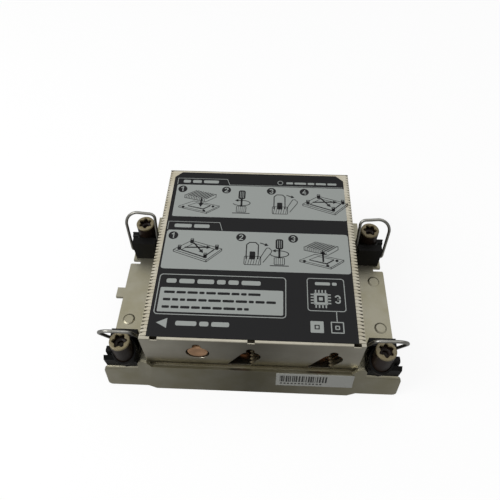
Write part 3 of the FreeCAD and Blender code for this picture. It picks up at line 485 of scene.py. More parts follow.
# ---------------------------------------------------------------- print
class Print:
    """Flat ink on a surface, collected as polygons and strokes in layers."""

    def __init__(self, name: str, finish: Finish, layer: int,
                 place: Callable[[np.ndarray, float], np.ndarray]) -> None:
        """Start an empty print.

        Args:
            name: the object's name.
            finish: the ink.
            layer: how many print steps above the surface it lies.
            place: turns (n, 2) points and a lift in millimetres into (n, 3) points.
        """
        self.name = name
        self.finish = finish
        self.lift = layer * PRINT_STEP
        self.place = place
        self.points: list[np.ndarray] = []
        self.faces: list[list[int]] = []
        self.count = 0

    def fill(self, outline: np.ndarray) -> None:
        """Add a filled polygon."""
        outline = np.asarray(outline, float)
        self.points.append(self.place(outline, self.lift))
        self.faces.append(list(range(self.count, self.count + len(outline))))
        self.count += len(outline)

    def ring(self, outer: np.ndarray, inner: np.ndarray) -> None:
        """Add the band between two outlines with equally many points."""
        self.points.append(self.place(np.concatenate([outer, inner]), self.lift))
        self.faces += (np.array(ring_faces(2, len(outer))) + self.count).tolist()
        self.count += 2 * len(outer)

    def frame(self, x0: float, y0: float, x1: float, y1: float, radius: float,
              width: float) -> None:
        """Add an outlined rounded rectangle."""
        self.ring(rounded_rect(x0, y0, x1, y1, radius),
                  rounded_rect(x0 + width, y0 + width, x1 - width, y1 - width, radius - width))

    def circle(self, x: float, y: float, radius: float, width: float) -> None:
        """Add a circle line."""
        self.ring(circle_outline(x, y, radius), circle_outline(x, y, radius - width))

    def line(self, points: Sequence[tuple[float, float]], width: float,
             closed: bool = False) -> None:
        """Add a stroke with square ends and mitred corners.

        Each corner moves along the sum of its two unit normals, divided by one plus their dot
        product.
        """
        run = np.asarray(points, float)
        if closed:
            run = np.vstack([run, run[:1]])
        step = np.diff(run, axis=0)
        step /= np.linalg.norm(step, axis=1, keepdims=True)
        normal = np.stack([-step[:, 1], step[:, 0]], axis=1)
        before = np.vstack([normal[-1:] if closed else normal[:1], normal])
        after = np.vstack([normal, normal[:1] if closed else normal[-1:]])
        dot = np.clip((before * after).sum(axis=1, keepdims=True), -0.6, 1)
        mitre = (before + after) / (1 + dot) * width / 2
        if not closed:
            run = run.copy()
            run[0] -= step[0] * width / 2
            run[-1] += step[-1] * width / 2
        n = len(run)
        self.points.append(self.place(np.concatenate([run - mitre, run + mitre]), self.lift))
        i = np.arange(n - 1)[:, None] + self.count
        self.faces += np.hstack([i, i + 1, i + n + 1, i + n]).tolist()
        self.count += 2 * n

    def arrow(self, ax: float, ay: float, bx: float, by: float, width: float,
              head: float) -> None:
        """Add a straight arrow with a filled head at its second end."""
        length = math.hypot(bx - ax, by - ay)
        ux, uy = (bx - ax) / length, (by - ay) / length
        nx, ny = bx - ux * head, by - uy * head
        self.line([(ax, ay), (nx, ny)], width)
        self.fill(np.array([(bx, by), (nx - uy * head * 0.55, ny + ux * head * 0.55),
                            (nx + uy * head * 0.55, ny - ux * head * 0.55)])[::-1])

    def digit(self, number: int, x: float, y: float, height: float, width: float) -> None:
        """Add a plain rounded digit about its middle."""
        r, h = height * 0.27, height / 2
        runs = {1: [[(x - r * 0.8, y + h * 0.6), (x + r * 0.2, y + h), (x + r * 0.2, y - h)]],
                2: [np.vstack([arc(x, y + h - r, r, 160, -30, 9),
                               [(x - r, y - h), (x + r, y - h)]])],
                3: [arc(x, y + h - r, r, 150, -80, 9), arc(x, y + r - h, r, 80, -150, 9)],
                4: [[(x + r * 0.5, y - h), (x + r * 0.5, y + h), (x - r, y - h * 0.4),
                     (x + r, y - h * 0.4)]]}
        for run in runs[number]:
            self.line(run, width)

    def words(self, x0: float, x1: float, y: float, height: float, seed: int) -> None:
        """Add a row of rounded bars of varied length, which stand for a line of print."""
        rng = np.random.default_rng(seed)
        x = x0
        while x < x1 - height:
            end = min(x + height * rng.uniform(1.6, 4.4), x1)
            self.fill(rounded_rect(x, y - height / 2, end, y + height / 2, height * 0.3, 3))
            x = end + height * 0.55

    def finish_piece(self, body: str, slot: str) -> bpy.types.Object:
        """Make the object and let it ride on a CAD body."""
        piece = mesh_piece(self.name, np.concatenate(self.points), self.faces, self.finish,
                           smooth=False)
        attach(piece, body)
        return piece


def on_label(outline: np.ndarray, lift: float) -> np.ndarray:
    """Place print on the top label."""
    return np.column_stack([outline, np.full(len(outline), LABEL_Z + lift)])


# ---------------------------------------------------------------- folded fins
def fold_section(reach: float, rise: float, radius: float = 0.45) -> np.ndarray:
    """Return the (y, z) section of the fold on top of a fin, from its front face.

    It goes up, round a quarter circle, along a line that rises to the free edge, and back
    under itself.

    Args:
        reach: how far the free edge stands behind the front face.
        rise: how far it stands above the bend.
        radius: outer radius of the bend.
    Returns:
        (n, 2) points in millimetres.
    """
    turn = np.linspace(0, math.pi / 2, 5)
    low = FIN_TOP_Z - rise - radius
    bend = np.stack([radius * (1 - np.cos(turn)), low + radius * np.sin(turn)], axis=1)
    rest = [(reach - 0.05, FIN_TOP_Z), (reach, FIN_TOP_Z - 0.05), (reach, FIN_TOP_Z - SHEET),
            (SHEET, FIN_TOP_Z - rise - SHEET), (SHEET, FOLD_Z)]
    return np.concatenate([[(0.0, FOLD_Z)], bend, rest])


def copies(one: np.ndarray, single: Sequence[Sequence[int]],
           starts: np.ndarray) -> tuple[np.ndarray, list[list[int]]]:
    """Repeat a part along Y.

    Args:
        one: (n, 3) points of the part in millimetres.
        single: its faces.
        starts: what each copy adds to Y.
    Returns:
        Points in millimetres and faces of all copies.
    """
    points = np.repeat(one[None], len(starts), axis=0)
    points[:, :, 1] += np.asarray(starts)[:, None]
    faces = [[i + k * len(one) for i in face] for k in range(len(starts)) for face in single]
    return points.reshape(-1, 3), faces


def fold_rows(stations: Sequence[tuple[float, float]], starts: np.ndarray,
              rise: float) -> tuple[np.ndarray, list[list[int]]]:
    """Sweep the fold's section along X, once for each fin.

    Args:
        stations: X and the reach of the fold there.
        starts: Y of each fin's front face.
        rise: how far the free edge stands above the bend.
    Returns:
        Points in millimetres and faces.
    """
    outlines = np.stack([fold_section(reach, rise) for _, reach in stations])
    around = outlines.shape[1]
    across = np.repeat([x for x, _ in stations], around)[:, None]
    one = np.hstack([across, outlines.reshape(-1, 2)])
    return copies(one, capped_faces(len(stations), around), starts)


def pierced_plates(outline: np.ndarray, hole: np.ndarray,
                   starts: np.ndarray) -> tuple[np.ndarray, list[list[int]]]:
    """Make flat upright plates with one hole, one sheet thick.

    Args:
        outline: (n, 2) X and Z of the rim.
        hole: (m, 2) X and Z of the hole.
        starts: Y of each plate's front face.
    Returns:
        Points in millimetres and faces.
    """
    flat = np.concatenate([outline, hole])
    loops = [[Vector((x, z, 0)) for x, z in loop] for loop in (outline, hole)]
    triangles = tessellate_polygon(loops)
    n, m = len(outline), len(flat)
    sides = [(i, (i + 1) % n) for i in range(n)] + [
        (i, i + 1 if i + 1 < m else n) for i in range(n, m)]
    single = [tuple(t) for t in triangles] + [tuple(i + m for i in t[::-1]) for t in triangles]
    single += [(a, b, b + m, a + m) for a, b in sides]
    front = np.column_stack([flat[:, 0], np.zeros(m), flat[:, 1]])
    one = np.concatenate([front, front + (0, SHEET, 0)])
    return copies(one, single, starts)


def swap_tops(mesh: bpy.types.Mesh, parts: Sequence[tuple[np.ndarray, list[list[int]]]],
              keep_from_y: float | None = None) -> None:
    """Cut a mesh of fins off below its folds, close the cuts and add other parts.

    Args:
        mesh: the mesh, changed in place.
        parts: points in millimetres and faces of each added part.
        keep_from_y: drop what lies before this Y.
    """
    bm = bmesh.new()
    bm.from_mesh(mesh)
    bmesh.ops.remove_doubles(bm, verts=bm.verts, dist=1e-6)
    if keep_from_y is not None:
        gone = [vert for vert in bm.verts if vert.co.y < keep_from_y * MM]
        bmesh.ops.delete(bm, geom=gone, context="VERTS")
    cut = bmesh.ops.bisect_plane(bm, geom=bm.verts[:] + bm.edges[:] + bm.faces[:],
                                 plane_co=(0, 0, FOLD_Z * MM), plane_no=(0, 0, 1),
                                 clear_outer=True)
    rims = [item for item in cut["geom_cut"] if isinstance(item, bmesh.types.BMEdge)]
    bmesh.ops.holes_fill(bm, edges=rims)
    for points, faces in parts:
        added = bpy.data.meshes.new("part")
        added.from_pydata((points * MM).tolist(), [], faces)
        bm.from_mesh(added)
        bpy.data.meshes.remove(added)
    bm.to_mesh(mesh)
    bm.free()
    mark_sharp(mesh, 35.0)


# ---------------------------------------------------------------- sub-assemblies
@dataclass
class MetalWork:
    """Refined copies of the cold plate, the frame and the two outer fins.

    The outer fin's fold is new: a rounded bend, in runs that the latch notches part.
    """

    frame: dict

    FOLD_RUNS = ((-39.0, -35.3), (-32.7, -1.5), (1.1, 34.8), (37.4, 39.0))

    def build(self) -> None:
        """Build the pieces."""
        jobs = (
            ("cold_plate", Finishes.SHADED_PLATE, 0.15, "nickel_copper", None),
            ("base_frame", Finishes.FRAME, 0.28, "cast_nickel", self.frame_form),
            ("front_fin", Finishes.FRONT_FIN, 0.1, "fin_metal", None),
            ("back_fin", Finishes.FRONT_FIN, 0.06, "fin_metal", None),
        )
        for node, finish, bevel, slot, reshape in jobs:
            piece = refined_copy(self.frame, node, finish, bevel, reshape=reshape)
            attach(piece, "heatsink")
            if node == "front_fin":
                swap_tops(piece.data, [fold_rows(((a, 1.36), (b, 1.36)),
                                                 np.array([FIN_FRONT_Y]), 0.0)
                                       for a, b in self.FOLD_RUNS])
                piece.data.polygons.foreach_set("use_smooth", [True] * len(piece.data.polygons))
            LOG.info("%s: %d faces", node, len(piece.data.polygons))

    @staticmethod
    def frame_form(points: np.ndarray) -> np.ndarray:
        """Soften the casting: sloped rim, fuller bend, round rail corners, low spots.

        Between the ears the rail's rim falls by 0.45 mm towards the fins.
        Beyond the ears the rail's top moves outwards in proportion to its height, its upper
        corners follow a quarter ellipse, and the wings' raised spots are low cones: their tops
        shrink to 0.72 of the radius and 0.55 of the height.
        """
        x, y, z = points.T.copy()
        height = np.clip((z + 6.5) / 12.0, 0, 1)
        ends = np.clip((np.abs(x) - 41.5) / 2.0, 0, 1)
        inner_rim = (np.abs(x) < 37.5) & (y < -29.2) & (y > -30.5) & (z > 7.5)
        z = np.where(inner_rim, z - 0.45, z)
        y = np.where(y < -28.6, y - 0.5 * height * ends, y)
        rise = np.clip((z - 2.6) / 2.95, 0, 0.98)
        reach = 56.0 - 2.2 * (1 - np.sqrt(1 - rise ** 2))
        x = np.where(y < -27.5, np.clip(x, -reach, reach), x)
        for cx, cy in ((-50.2, -10.2), (50.4, -10.2), (50.0, 11.7)):
            spot = (np.hypot(x - cx, y - cy) < 3.0) & (z > DECK_Z + 0.01)
            x = np.where(spot, cx + (x - cx) * 0.72, x)
            y = np.where(spot, cy + (y - cy) * 0.72, y)
            z = np.where(spot, DECK_Z + (z - DECK_Z) * 0.55, z)
        return np.stack([x, y, z], axis=1)


@dataclass
class FinPack:
    """The inner fins: pierced plates, each folded over at the top and locked to the next.

    A fold rises a little towards its free edge and narrows to a tooth at both ends.  The first
    plates are slotted like the outer fin, so that the pipes' bends can slide in behind them.
    """

    frame: dict
    count: int = 56
    pitch: float = 1.435
    slotted: int = 5
    slot_half: float = 3.7
    rise: float = 0.2
    full_reach: float = 1.33
    tooth_reach: float = 0.55
    tooth_length: float = 1.5

    def opening(self, low: tuple[float, float], top: tuple[float, float]) -> np.ndarray:
        """Return the outline of one slot: straight sides up to a half circle round the pipe."""
        foot, head = np.array(low), np.array(top)
        along = (head - foot) / np.linalg.norm(head - foot)
        across = np.array([along[1], -along[0]])
        turn = np.linspace(math.pi, 0, 13)[:, None]
        arch = head + self.slot_half * (np.cos(turn) * across + np.sin(turn) * along)
        ends = [arch[i] - along * (arch[i, 1] - FIN_BOTTOM_Z) / along[1] for i in (0, -1)]
        return np.vstack([ends[0], arch, ends[1]])

    def build(self) -> None:
        """Build the piece from the plates and the folds."""
        starts = FIN_FRONT_Y + self.pitch * np.arange(1, self.count + 1)
        outline = np.vstack([[(-HALF_FIN, FIN_BOTTOM_Z)], self.opening(*PIPE_MIDDLE),
                             self.opening(*PIPE_RIGHT), [(HALF_FIN, FIN_BOTTOM_Z)],
                             [(HALF_FIN, FOLD_Z), (-HALF_FIN, FOLD_Z)]])
        plates = pierced_plates(outline, circle_outline(*PIPE_LEFT[1], 3.2),
                                starts[:self.slotted])
        edge = HALF_FIN - self.tooth_length
        stations = ((-HALF_FIN, self.tooth_reach), (-edge, self.full_reach),
                    (edge, self.full_reach), (HALF_FIN, self.tooth_reach))
        mesh = self.frame["nodes"]["fin_stack"].data.copy()
        swap_tops(mesh, [plates, fold_rows(stations, starts, self.rise)],
                  FIN_FRONT_Y + self.pitch * (self.slotted + 1) - 0.01)
        piece = link_mesh("fin_stack_look", mesh, Finishes.FIN, True)
        attach(piece, "heatsink", "fin_stack")


@dataclass
class HeatPipe:
    """A round pipe bent into a U between the cold plate and the fins."""

    node: str
    low: tuple[float, float]
    top: tuple[float, float]
    side: int
    bend_y: float
    low_end: float
    cap_end: float
    radius: float = 3.0

    DRAW_IN = 2.2

    def path(self) -> tuple[np.ndarray, np.ndarray]:
        """Return the centre line and the radius at each of its points.

        The legs run along Y; the half turn between them lies in the plane through both.  The
        lower end draws in as a quarter of an ellipse, the upper one carries a flat cap.
        """
        low, top = np.array(self.low), np.array(self.top)
        middle, half = (low + top) / 2, (top - low) / 2
        turn = np.linspace(0, math.pi, 41)[:, None]
        level = middle - half * np.cos(turn)
        depth = self.bend_y + self.side * np.linalg.norm(half) * np.sin(turn)
        close = np.linspace(1, 0, 9)
        foot = self.low_end + self.side * self.DRAW_IN * (1 - close)
        points = np.vstack([
            np.column_stack([np.full(9, low[0]), foot, np.full(9, low[1])]),
            np.hstack([level[:, :1], depth, level[:, 1:]]),
            [(top[0], self.cap_end + self.side * 1.0, top[1])]])
        shrink = np.sqrt(1 - (close * 0.93) ** 2) * (1 - 0.25 * close)
        radii = self.radius * np.concatenate([shrink, np.ones(len(points) - 9)])
        return points, radii

    def cap(self) -> None:
        """Build the flat cap on the upper end, with a rounded edge and a shallow dimple."""
        section = ((1.15, 0.4), (1.15, 3.3), (1.1, 3.55), (1.0, 3.68), (0.32, 3.68),
                   (0.2, 3.64), (0.08, 3.5), (0.02, 3.2), (0.0, 2.7), (0.0, 1.4), (0.06, 0.8),
                   (0.08, 0.3))
        path = np.array([(self.top[0], self.cap_end + self.side * depth, self.top[1])
                         for depth, _ in section])
        path[:, 1] += np.linspace(0, 1e-4, len(path)) * -self.side
        piece = disc_stack(self.node + "_cap", path, [radius for _, radius in section],
                           Finishes.CAP, 48)
        attach(piece, "heatsink")

    def build(self) -> None:
        """Build the piece."""
        points, radii = self.path()
        piece = tube(self.node + "_look", points, radii, Finishes.COPPER, 40)
        attach(piece, "heatsink", self.node)
        self.cap()


@dataclass
class Corner:
    """Holder, captive nut, retaining ring and bail at one corner."""

    frame: dict
    name: str
    side_x: int
    side_y: int

    LEAN_FRONT = 18.5
    LEAN_BACK = 15.0
    PIVOT = (5.9, 10.5)
    BULGE = 7.0
    RIM_Z = 20.4

    def place(self, local: np.ndarray) -> np.ndarray:
        """Turn (outward, towards the wing, up) points into row-frame points."""
        local = np.asarray(local, float)
        return np.stack([self.side_x * (NUT_X + local[:, 0]), self.side_y * (NUT_Y - local[:, 1]),
                         local[:, 2]], axis=1)

    def holder(self) -> None:
        """Build the moulded holder; its foot ends short of the rail's bend."""
        limit = NUT_Y + 2.85

        def draw_in(points: np.ndarray) -> np.ndarray:
            foot = points[:, 2] < DECK_Z + 4.6
            points[foot, 1] = np.clip(points[foot, 1], -limit, limit)
            return points

        piece = refined_copy(self.frame, "nut_holder_" + self.name, Finishes.BLACK, 0.22,
                             reshape=draw_in)
        attach(piece, "heatsink")

    def nut(self) -> None:
        """Build the nut: rounded head, shank, blind bore and a six-lobe recess with a hole.

        The recess wall has the radius 2.42 + 0.38 cos(6 angle), which gives six round lobes.
        """
        phase = 0.35 * self.side_x + 0.8 * self.side_y

        def lobes(grow: float) -> Callable[[np.ndarray], np.ndarray]:
            return lambda angle: 2.42 + grow + 0.38 * np.cos(6 * (angle + phase))

        centre = (self.side_x * NUT_X, self.side_y * NUT_Y)
        body = "nut_" + self.name
        rings = [(0.02, 9.2), (1.65, 9.2), (1.65, 0.2), (2.25, 0.2), (2.4, 0.35), (2.4, 8.0),
                 (3.6, 8.0), (3.73, 8.15), (3.73, self.RIM_Z), (lobes(0.0), self.RIM_Z),
                 (lobes(-0.02), 18.9), (1.95, 18.86), (1.9, 18.8), (1.25, 18.6), (1.2, 18.5),
                 (1.15, 17.6), (0.02, 17.4)]
        piece = polar_solid("captive_nut_" + self.name + "_look", rings, centre, Finishes.BROWN,
                            120)
        attach(piece, body, "captive_nut_" + self.name)
        edge = [(lobes(0.0), self.RIM_Z), (3.73, self.RIM_Z), (3.73, 20.75)]
        edge += [(3.73 - 0.4 * (1 - math.cos(t)), 20.78 + 0.4 * math.sin(t))
                 for t in np.linspace(0.15, math.pi / 2, 6)]
        edge += [(3.25, 21.2), (lobes(0.14), 21.2), (lobes(0.07), 21.17), (lobes(0.02), 21.1),
                 (lobes(0.0), 20.98)]
        rim = polar_solid("captive_nut_" + self.name + "_rim", edge, centre, Finishes.RIM, 120,
                          hollow=True)
        attach(rim, body)

    def ring(self) -> None:
        """Build the retaining ring."""
        piece = refined_copy(self.frame, "retaining_ring_" + self.name, Finishes.STEEL, 0.08)
        attach(piece, "lift_" + self.name)

    def bail_path(self) -> np.ndarray:
        """Return the centre line of the bail in its own plane: pin, elbow, D loop, elbow, pin.

        Elbows and shoulder are circle arcs and the loop's far side is a quarter ellipse, which
        ends BULGE out and then runs in a straight line to the outer pin.
        """
        elbow = 0.7
        drop = np.array([1.5, 4.0, 7.0, 10.0])
        slope = (self.BULGE - 6.2) / 13.0
        return np.vstack([
            [(-3.2, 0.0), (-4.2, 0.0)], arc(-5.2 + elbow, elbow, elbow, 270, 180, 8),
            [(-5.2, 4.0), (-5.2, 9.0), (-5.2, 13.0)], arc(-3.0, 16.5, 2.2, 180, 94, 12),
            [(-1.0, 18.85), (0.8, 19.05)], arc(1.6, 13.0, (self.BULGE - 1.6, 6.15), 86, 2, 22),
            np.stack([self.BULGE - slope * drop, 13.0 - drop], axis=1),
            [(6.2 + slope * elbow, elbow)], arc(6.2 - elbow, elbow, elbow, -10, -90, 8),
            [(5.2, 0.0), (4.2, 0.0)]])

    def bail(self) -> None:
        """Build the wire bail, leaning outwards."""
        flat = self.bail_path()
        lean = math.radians(self.LEAN_FRONT if self.side_y < 0 else self.LEAN_BACK)
        local = np.stack([flat[:, 0], self.PIVOT[0] - flat[:, 1] * math.sin(lean),
                          self.PIVOT[1] + flat[:, 1] * math.cos(lean)], axis=1)
        piece = tube("tilt_bail_" + self.name + "_look", self.place(local), 0.6, Finishes.WIRE, 24)
        attach(piece, "bail_" + self.name, "tilt_bail_" + self.name)

    def build(self) -> None:
        """Build all four pieces."""
        self.holder()
        self.nut()
        self.ring()
        self.bail()


@dataclass
class TopLabel:
    """The label on the fins, with its fields, numbers and simple drawings."""

    frame: dict

    FINE = 0.26
    BOLD = 0.7
    FORWARD = 0.55

    def build(self) -> None:
        """Build the label and its print."""
        def forward(points: np.ndarray) -> np.ndarray:
            points[points[:, 1] < FIN_FRONT_Y + 2.1, 1] -= self.FORWARD
            return points

        base = refined_copy(self.frame, "top_label", Finishes.LABEL, 0.05, reshape=forward)
        attach(base, "heatsink")
        light = Print("label_light_fields", Finishes.LABEL_LIGHT, 1, on_label)
        dark = Print("label_dark_lines", Finishes.LABEL_DARK, 2, on_label)
        top = Print("label_light_details", Finishes.LABEL_LIGHT, 3, on_label)
        light.fill(rounded_rect(-35.0, 26.4, 36.6, 44.4, 0.8))
        light.fill(rounded_rect(-35.8, 0.4, 36.2, 19.2, 1.2))
        for number, x in ((1, -32.4), (2, -13.6), (3, 5.6), (4, 19.6)):
            self.number(dark, top, number, x, 41.8)
        for number, x in ((1, -33.0), (2, -6.0), (3, 14.6)):
            self.number(dark, top, number, x, 16.4)
        self.draw_block(dark, top, -24.4, 35.4, -1)
        self.draw_driver(dark, top, -6.8, 35.2)
        self.draw_bail(dark, 9.2, 35.0)
        self.draw_plate(dark, top, 28.2, 35.0)
        self.draw_plate(dark, top, -22.6, 9.4)
        self.draw_bail(dark, -1.2, 9.2)
        self.draw_driver(dark, top, 9.2, 9.4)
        self.draw_block(dark, top, 25.4, 9.6, 1)
        self.lower_left(light, dark)
        self.lower_right(light, dark)
        self.tabs(light)
        for ink in (light, dark, top):
            ink.finish_piece("heatsink", "label_film")

    def number(self, disc: Print, ink: Print, number: int, x: float, y: float) -> None:
        """Draw a number in a disc."""
        disc.fill(circle_outline(x, y, 1.95))
        ink.digit(number, x, y, 2.3, 0.42)

    def tabs(self, light: Print) -> None:
        """Draw the tab outlines above the two fields, with a row of plain print in each."""
        light.line([(-35.0, 44.7), (-35.0, 48.2), (-13.6, 48.2), (-12.4, 44.9), (36.0, 44.9)],
                   0.22)
        light.line([(-35.8, 19.5), (-35.8, 23.6), (-15.0, 23.6), (-13.8, 19.6)], 0.22)
        light.words(-32.6, -17.0, 46.4, 1.7, 3)
        light.words(-33.2, -19.0, 21.5, 1.8, 5)
        light.circle(9.4, 46.9, 1.2, 0.25)
        light.words(12.0, 33.6, 46.8, 1.15, 8)

    def slab(self, ink: Print, x: float, y: float, w: float, d: float, h: float) -> None:
        """Draw a low box, seen from above its left corner."""
        ink.line([(x - w, y), (x + w * 0.4, y - d), (x + w, y + d * 0.2), (x - w * 0.3, y + d)],
                 self.FINE, closed=True)
        ink.line([(x - w, y), (x - w, y - h), (x + w * 0.4, y - d - h),
                  (x + w, y + d * 0.2 - h), (x + w, y + d * 0.2)], self.FINE)
        ink.line([(x + w * 0.4, y - d), (x + w * 0.4, y - d - h)], self.FINE)

    def draw_block(self, ink: Print, top: Print, x: float, y: float, way: int) -> None:
        """Draw a finned block over its board, with a bold arrow between them."""
        self.slab(ink, x, y - 3.4, 8.4, 3.0, 0.7)
        self.slab(ink, x, y - 3.0, 4.6, 1.6, 0.3)
        ink.fill(np.array([(x - 6.6, y + 3.0), (x + 2.6, y + 0.9), (x + 6.6, y + 3.7),
                           (x - 2.0, y + 5.8)]))
        for i in range(8):
            a = 0.08 + i * 0.12
            top.line([(x - 6.6 + 9.2 * a, y + 3.0 - 2.1 * a),
                      (x - 2.0 + 8.6 * a, y + 5.8 - 2.1 * a)], 0.34)
        ink.line([(x - 6.6, y + 3.0), (x - 6.6, y + 1.4), (x + 2.6, y - 0.7), (x + 6.6, y + 2.1),
                  (x + 6.6, y + 3.7)], self.FINE)
        for i in range(12):
            a = (i + 1) / 13
            ink.line([(x - 6.6 + 9.2 * a, y + 3.0 - 2.1 * a),
                      (x - 6.6 + 9.2 * a, y + 1.4 - 2.1 * a)], 0.2)
        ends = (y + 1.8, y - 3.6)[::-way]
        ink.arrow(x + 0.6, ends[0], x + 0.6, ends[1], self.BOLD, 2.1)
        for sx, sy in ((-6.6, -3.8), (5.8, -3.2), (2.2, -5.6)):
            ink.fill(circle_outline(x + sx, y + sy, 0.6, 12))

    def draw_plate(self, ink: Print, top: Print, x: float, y: float) -> None:
        """Draw the board with four posts and the order in which they are turned."""
        self.slab(ink, x, y, 9.4, 4.6, 0.9)
        self.slab(ink, x + 0.1, y + 0.1, 6.4, 3.1, 0.3)
        posts = ((x - 7.2, y + 0.2), (x + 3.2, y - 3.3), (x + 7.4, y + 0.8), (x - 2.6, y + 3.6))
        for px, py in posts:
            ink.fill(rounded_rect(px - 0.7, py - 0.4, px + 0.7, py + 2.2, 0.4, 3))
            top.circle(px, py + 1.7, 0.4, 0.16)
        for (ax, ay), (bx, by) in ((posts[0], posts[2]), (posts[3], posts[1])):
            ux, uy = (bx - ax) * 0.16, (by - ay) * 0.16
            ink.arrow(ax + ux, ay + uy + 0.9, bx - ux, by - uy + 0.9, 0.6, 1.7)

    def draw_driver(self, ink: Print, top: Print, x: float, y: float) -> None:
        """Draw a driver over a nut with a turning arrow."""
        ink.fill(rounded_rect(x - 1.5, y + 1.6, x + 1.5, y + 6.6, 0.9))
        for dx in (-0.7, 0.0, 0.7):
            top.line([(x + dx, y + 2.4), (x + dx, y + 5.8)], 0.2)
        ink.line([(x, y + 1.6), (x, y - 2.2)], 0.8)
        ink.frame(x - 2.1, y - 5.8, x + 2.1, y - 2.3, 0.5, self.FINE)
        for dx in (-1.2, -0.4, 0.4, 1.2):
            ink.line([(x + dx, y - 5.6), (x + dx, y - 2.6)], 0.18)
        ink.line([(x - 3.4, y - 6.2), (x + 3.4, y - 6.2)], 0.4)
        way = arc(x, y - 0.6, (3.6, 1.5), 200, 480, 15)
        ink.line(way, 0.36)
        ink.arrow(*way[-2], way[-1][0] - 1.0, way[-1][1] + 0.1, 0.36, 1.4)

    def draw_bail(self, ink: Print, x: float, y: float) -> None:
        """Draw a wire loop on its block, upright and tilted."""
        ink.frame(x - 3.2, y - 6.0, x + 3.4, y - 1.8, 0.6, self.FINE)
        for i in range(6):
            ink.line([(x - 2.6 + i, y - 5.6), (x - 2.0 + i, y - 2.2)], 0.2)
        ink.fill(rounded_rect(x - 1.1, y - 3.4, x + 1.1, y + 0.4, 0.4, 4))
        ink.line([(x - 2.4, y - 3.0), (x - 2.4, y + 3.6), (x - 1.3, y + 4.8), (x + 1.1, y + 4.8),
                  (x + 2.2, y + 3.6), (x + 2.2, y - 3.0)], 0.42)
        ink.line([(x + 3.0, y - 2.6), (x + 5.4, y + 2.2), (x + 6.4, y + 2.3), (x + 7.4, y + 1.2),
                  (x + 7.3, y + 0.2), (x + 4.2, y - 4.6)], 0.3)
        ink.arrow(x + 3.0, y + 4.6, x + 6.2, y + 3.4, 0.42, 1.5)

    def lower_left(self, light: Print, dark: Print) -> None:
        """Draw the lower left frame with its heading and three rows of plain print."""
        light.frame(-35.4, -19.2, 11.8, -2.0, 1.4, 0.32)
        light.words(-32.6, 2.4, -5.0, 1.9, 11)
        light.fill(rounded_rect(-34.3, -18.1, 10.7, -7.9, 0.5))
        for y, end, seed in ((-9.9, 4.0, 21), (-13.0, 9.2, 22), (-16.1, -1.5, 24)):
            dark.words(-32.8, end, y, 1.05, seed)
        light.fill(np.array([(-33.8, -22.5), (-30.0, -24.5), (-30.0, -20.6)]))
        light.words(-27.0, -7.0, -22.5, 1.8, 31)

    def lower_right(self, light: Print, dark: Print) -> None:
        """Draw the lower right box with a small package, a number and its two keys."""
        light.frame(19.4, -15.8, 33.2, -1.8, 1.2, 0.3)
        light.words(22.4, 30.4, -4.2, 1.3, 41)
        light.frame(21.8, -13.2, 26.8, -8.2, 0.3, 1.1)
        light.fill(rounded_rect(23.6, -11.4, 25.0, -10.0, 0.2))
        for i in range(4):
            across = 22.5 + i * 1.2
            light.line([(across, -8.2), (across, -7.2)], 0.5)
            light.line([(across, -14.2), (across, -13.2)], 0.5)
            light.line([(20.9, across - 35.0), (21.8, across - 35.0)], 0.5)
            light.line([(26.8, across - 35.0), (27.7, across - 35.0)], 0.5)
        light.digit(3, 30.4, -10.7, 3.0, 0.55)
        light.line([(29.6, -15.8), (29.6, -19.6)], 0.3)
        light.fill(rounded_rect(20.2, -24.3, 24.8, -19.8, 0.3))
        dark.frame(21.6, -23.0, 23.4, -21.2, 0.2, 0.4)
        light.frame(27.3, -24.3, 31.9, -19.8, 0.3, 0.4)
        light.frame(28.8, -22.9, 30.4, -21.3, 0.2, 0.35)


@dataclass
class FrontSticker:
    """The small sticker on the leaning rail, with a bar pattern on its left."""

    frame: dict

    LEFT, TOP, BOTTOM = 9.25, 7.1, -0.7
    RAIL_LEAN = 10.0
    FACE_Y = -31.62

    def place(self, outline: np.ndarray, lift: float) -> np.ndarray:
        """Place (x, z) print on the leaning face."""
        slope = math.tan(math.radians(self.RAIL_LEAN))
        face = self.FACE_Y + (outline[:, 1] - DECK_Z) * slope
        return np.stack([outline[:, 0], face - lift, outline[:, 1]], axis=1)

    def build(self) -> None:
        """Build the sticker and its print."""
        base = refined_copy(self.frame, "front_sticker", Finishes.STICKER, 0.0)
        attach(base, "heatsink")
        ink = Print("sticker_bars", Finishes.STICKER_INK, 1, self.place)
        rng = np.random.default_rng(11)
        x = self.LEFT + 1.4
        while x < self.LEFT + 18.5:
            width = 0.22 * rng.integers(1, 4)
            ink.fill(rounded_rect(x, self.BOTTOM + 2.6, x + width, self.TOP - 1.2, 0.001, 2))
            x += width + 0.22 * rng.integers(1, 3)
        for i in range(12):
            cx = self.LEFT + 1.6 + i * 1.35
            ink.fill(rounded_rect(cx, self.BOTTOM + 1.1, cx + 0.8, self.BOTTOM + 1.9, 0.1, 3))
        ink.finish_piece("heatsink", "sticker_film")


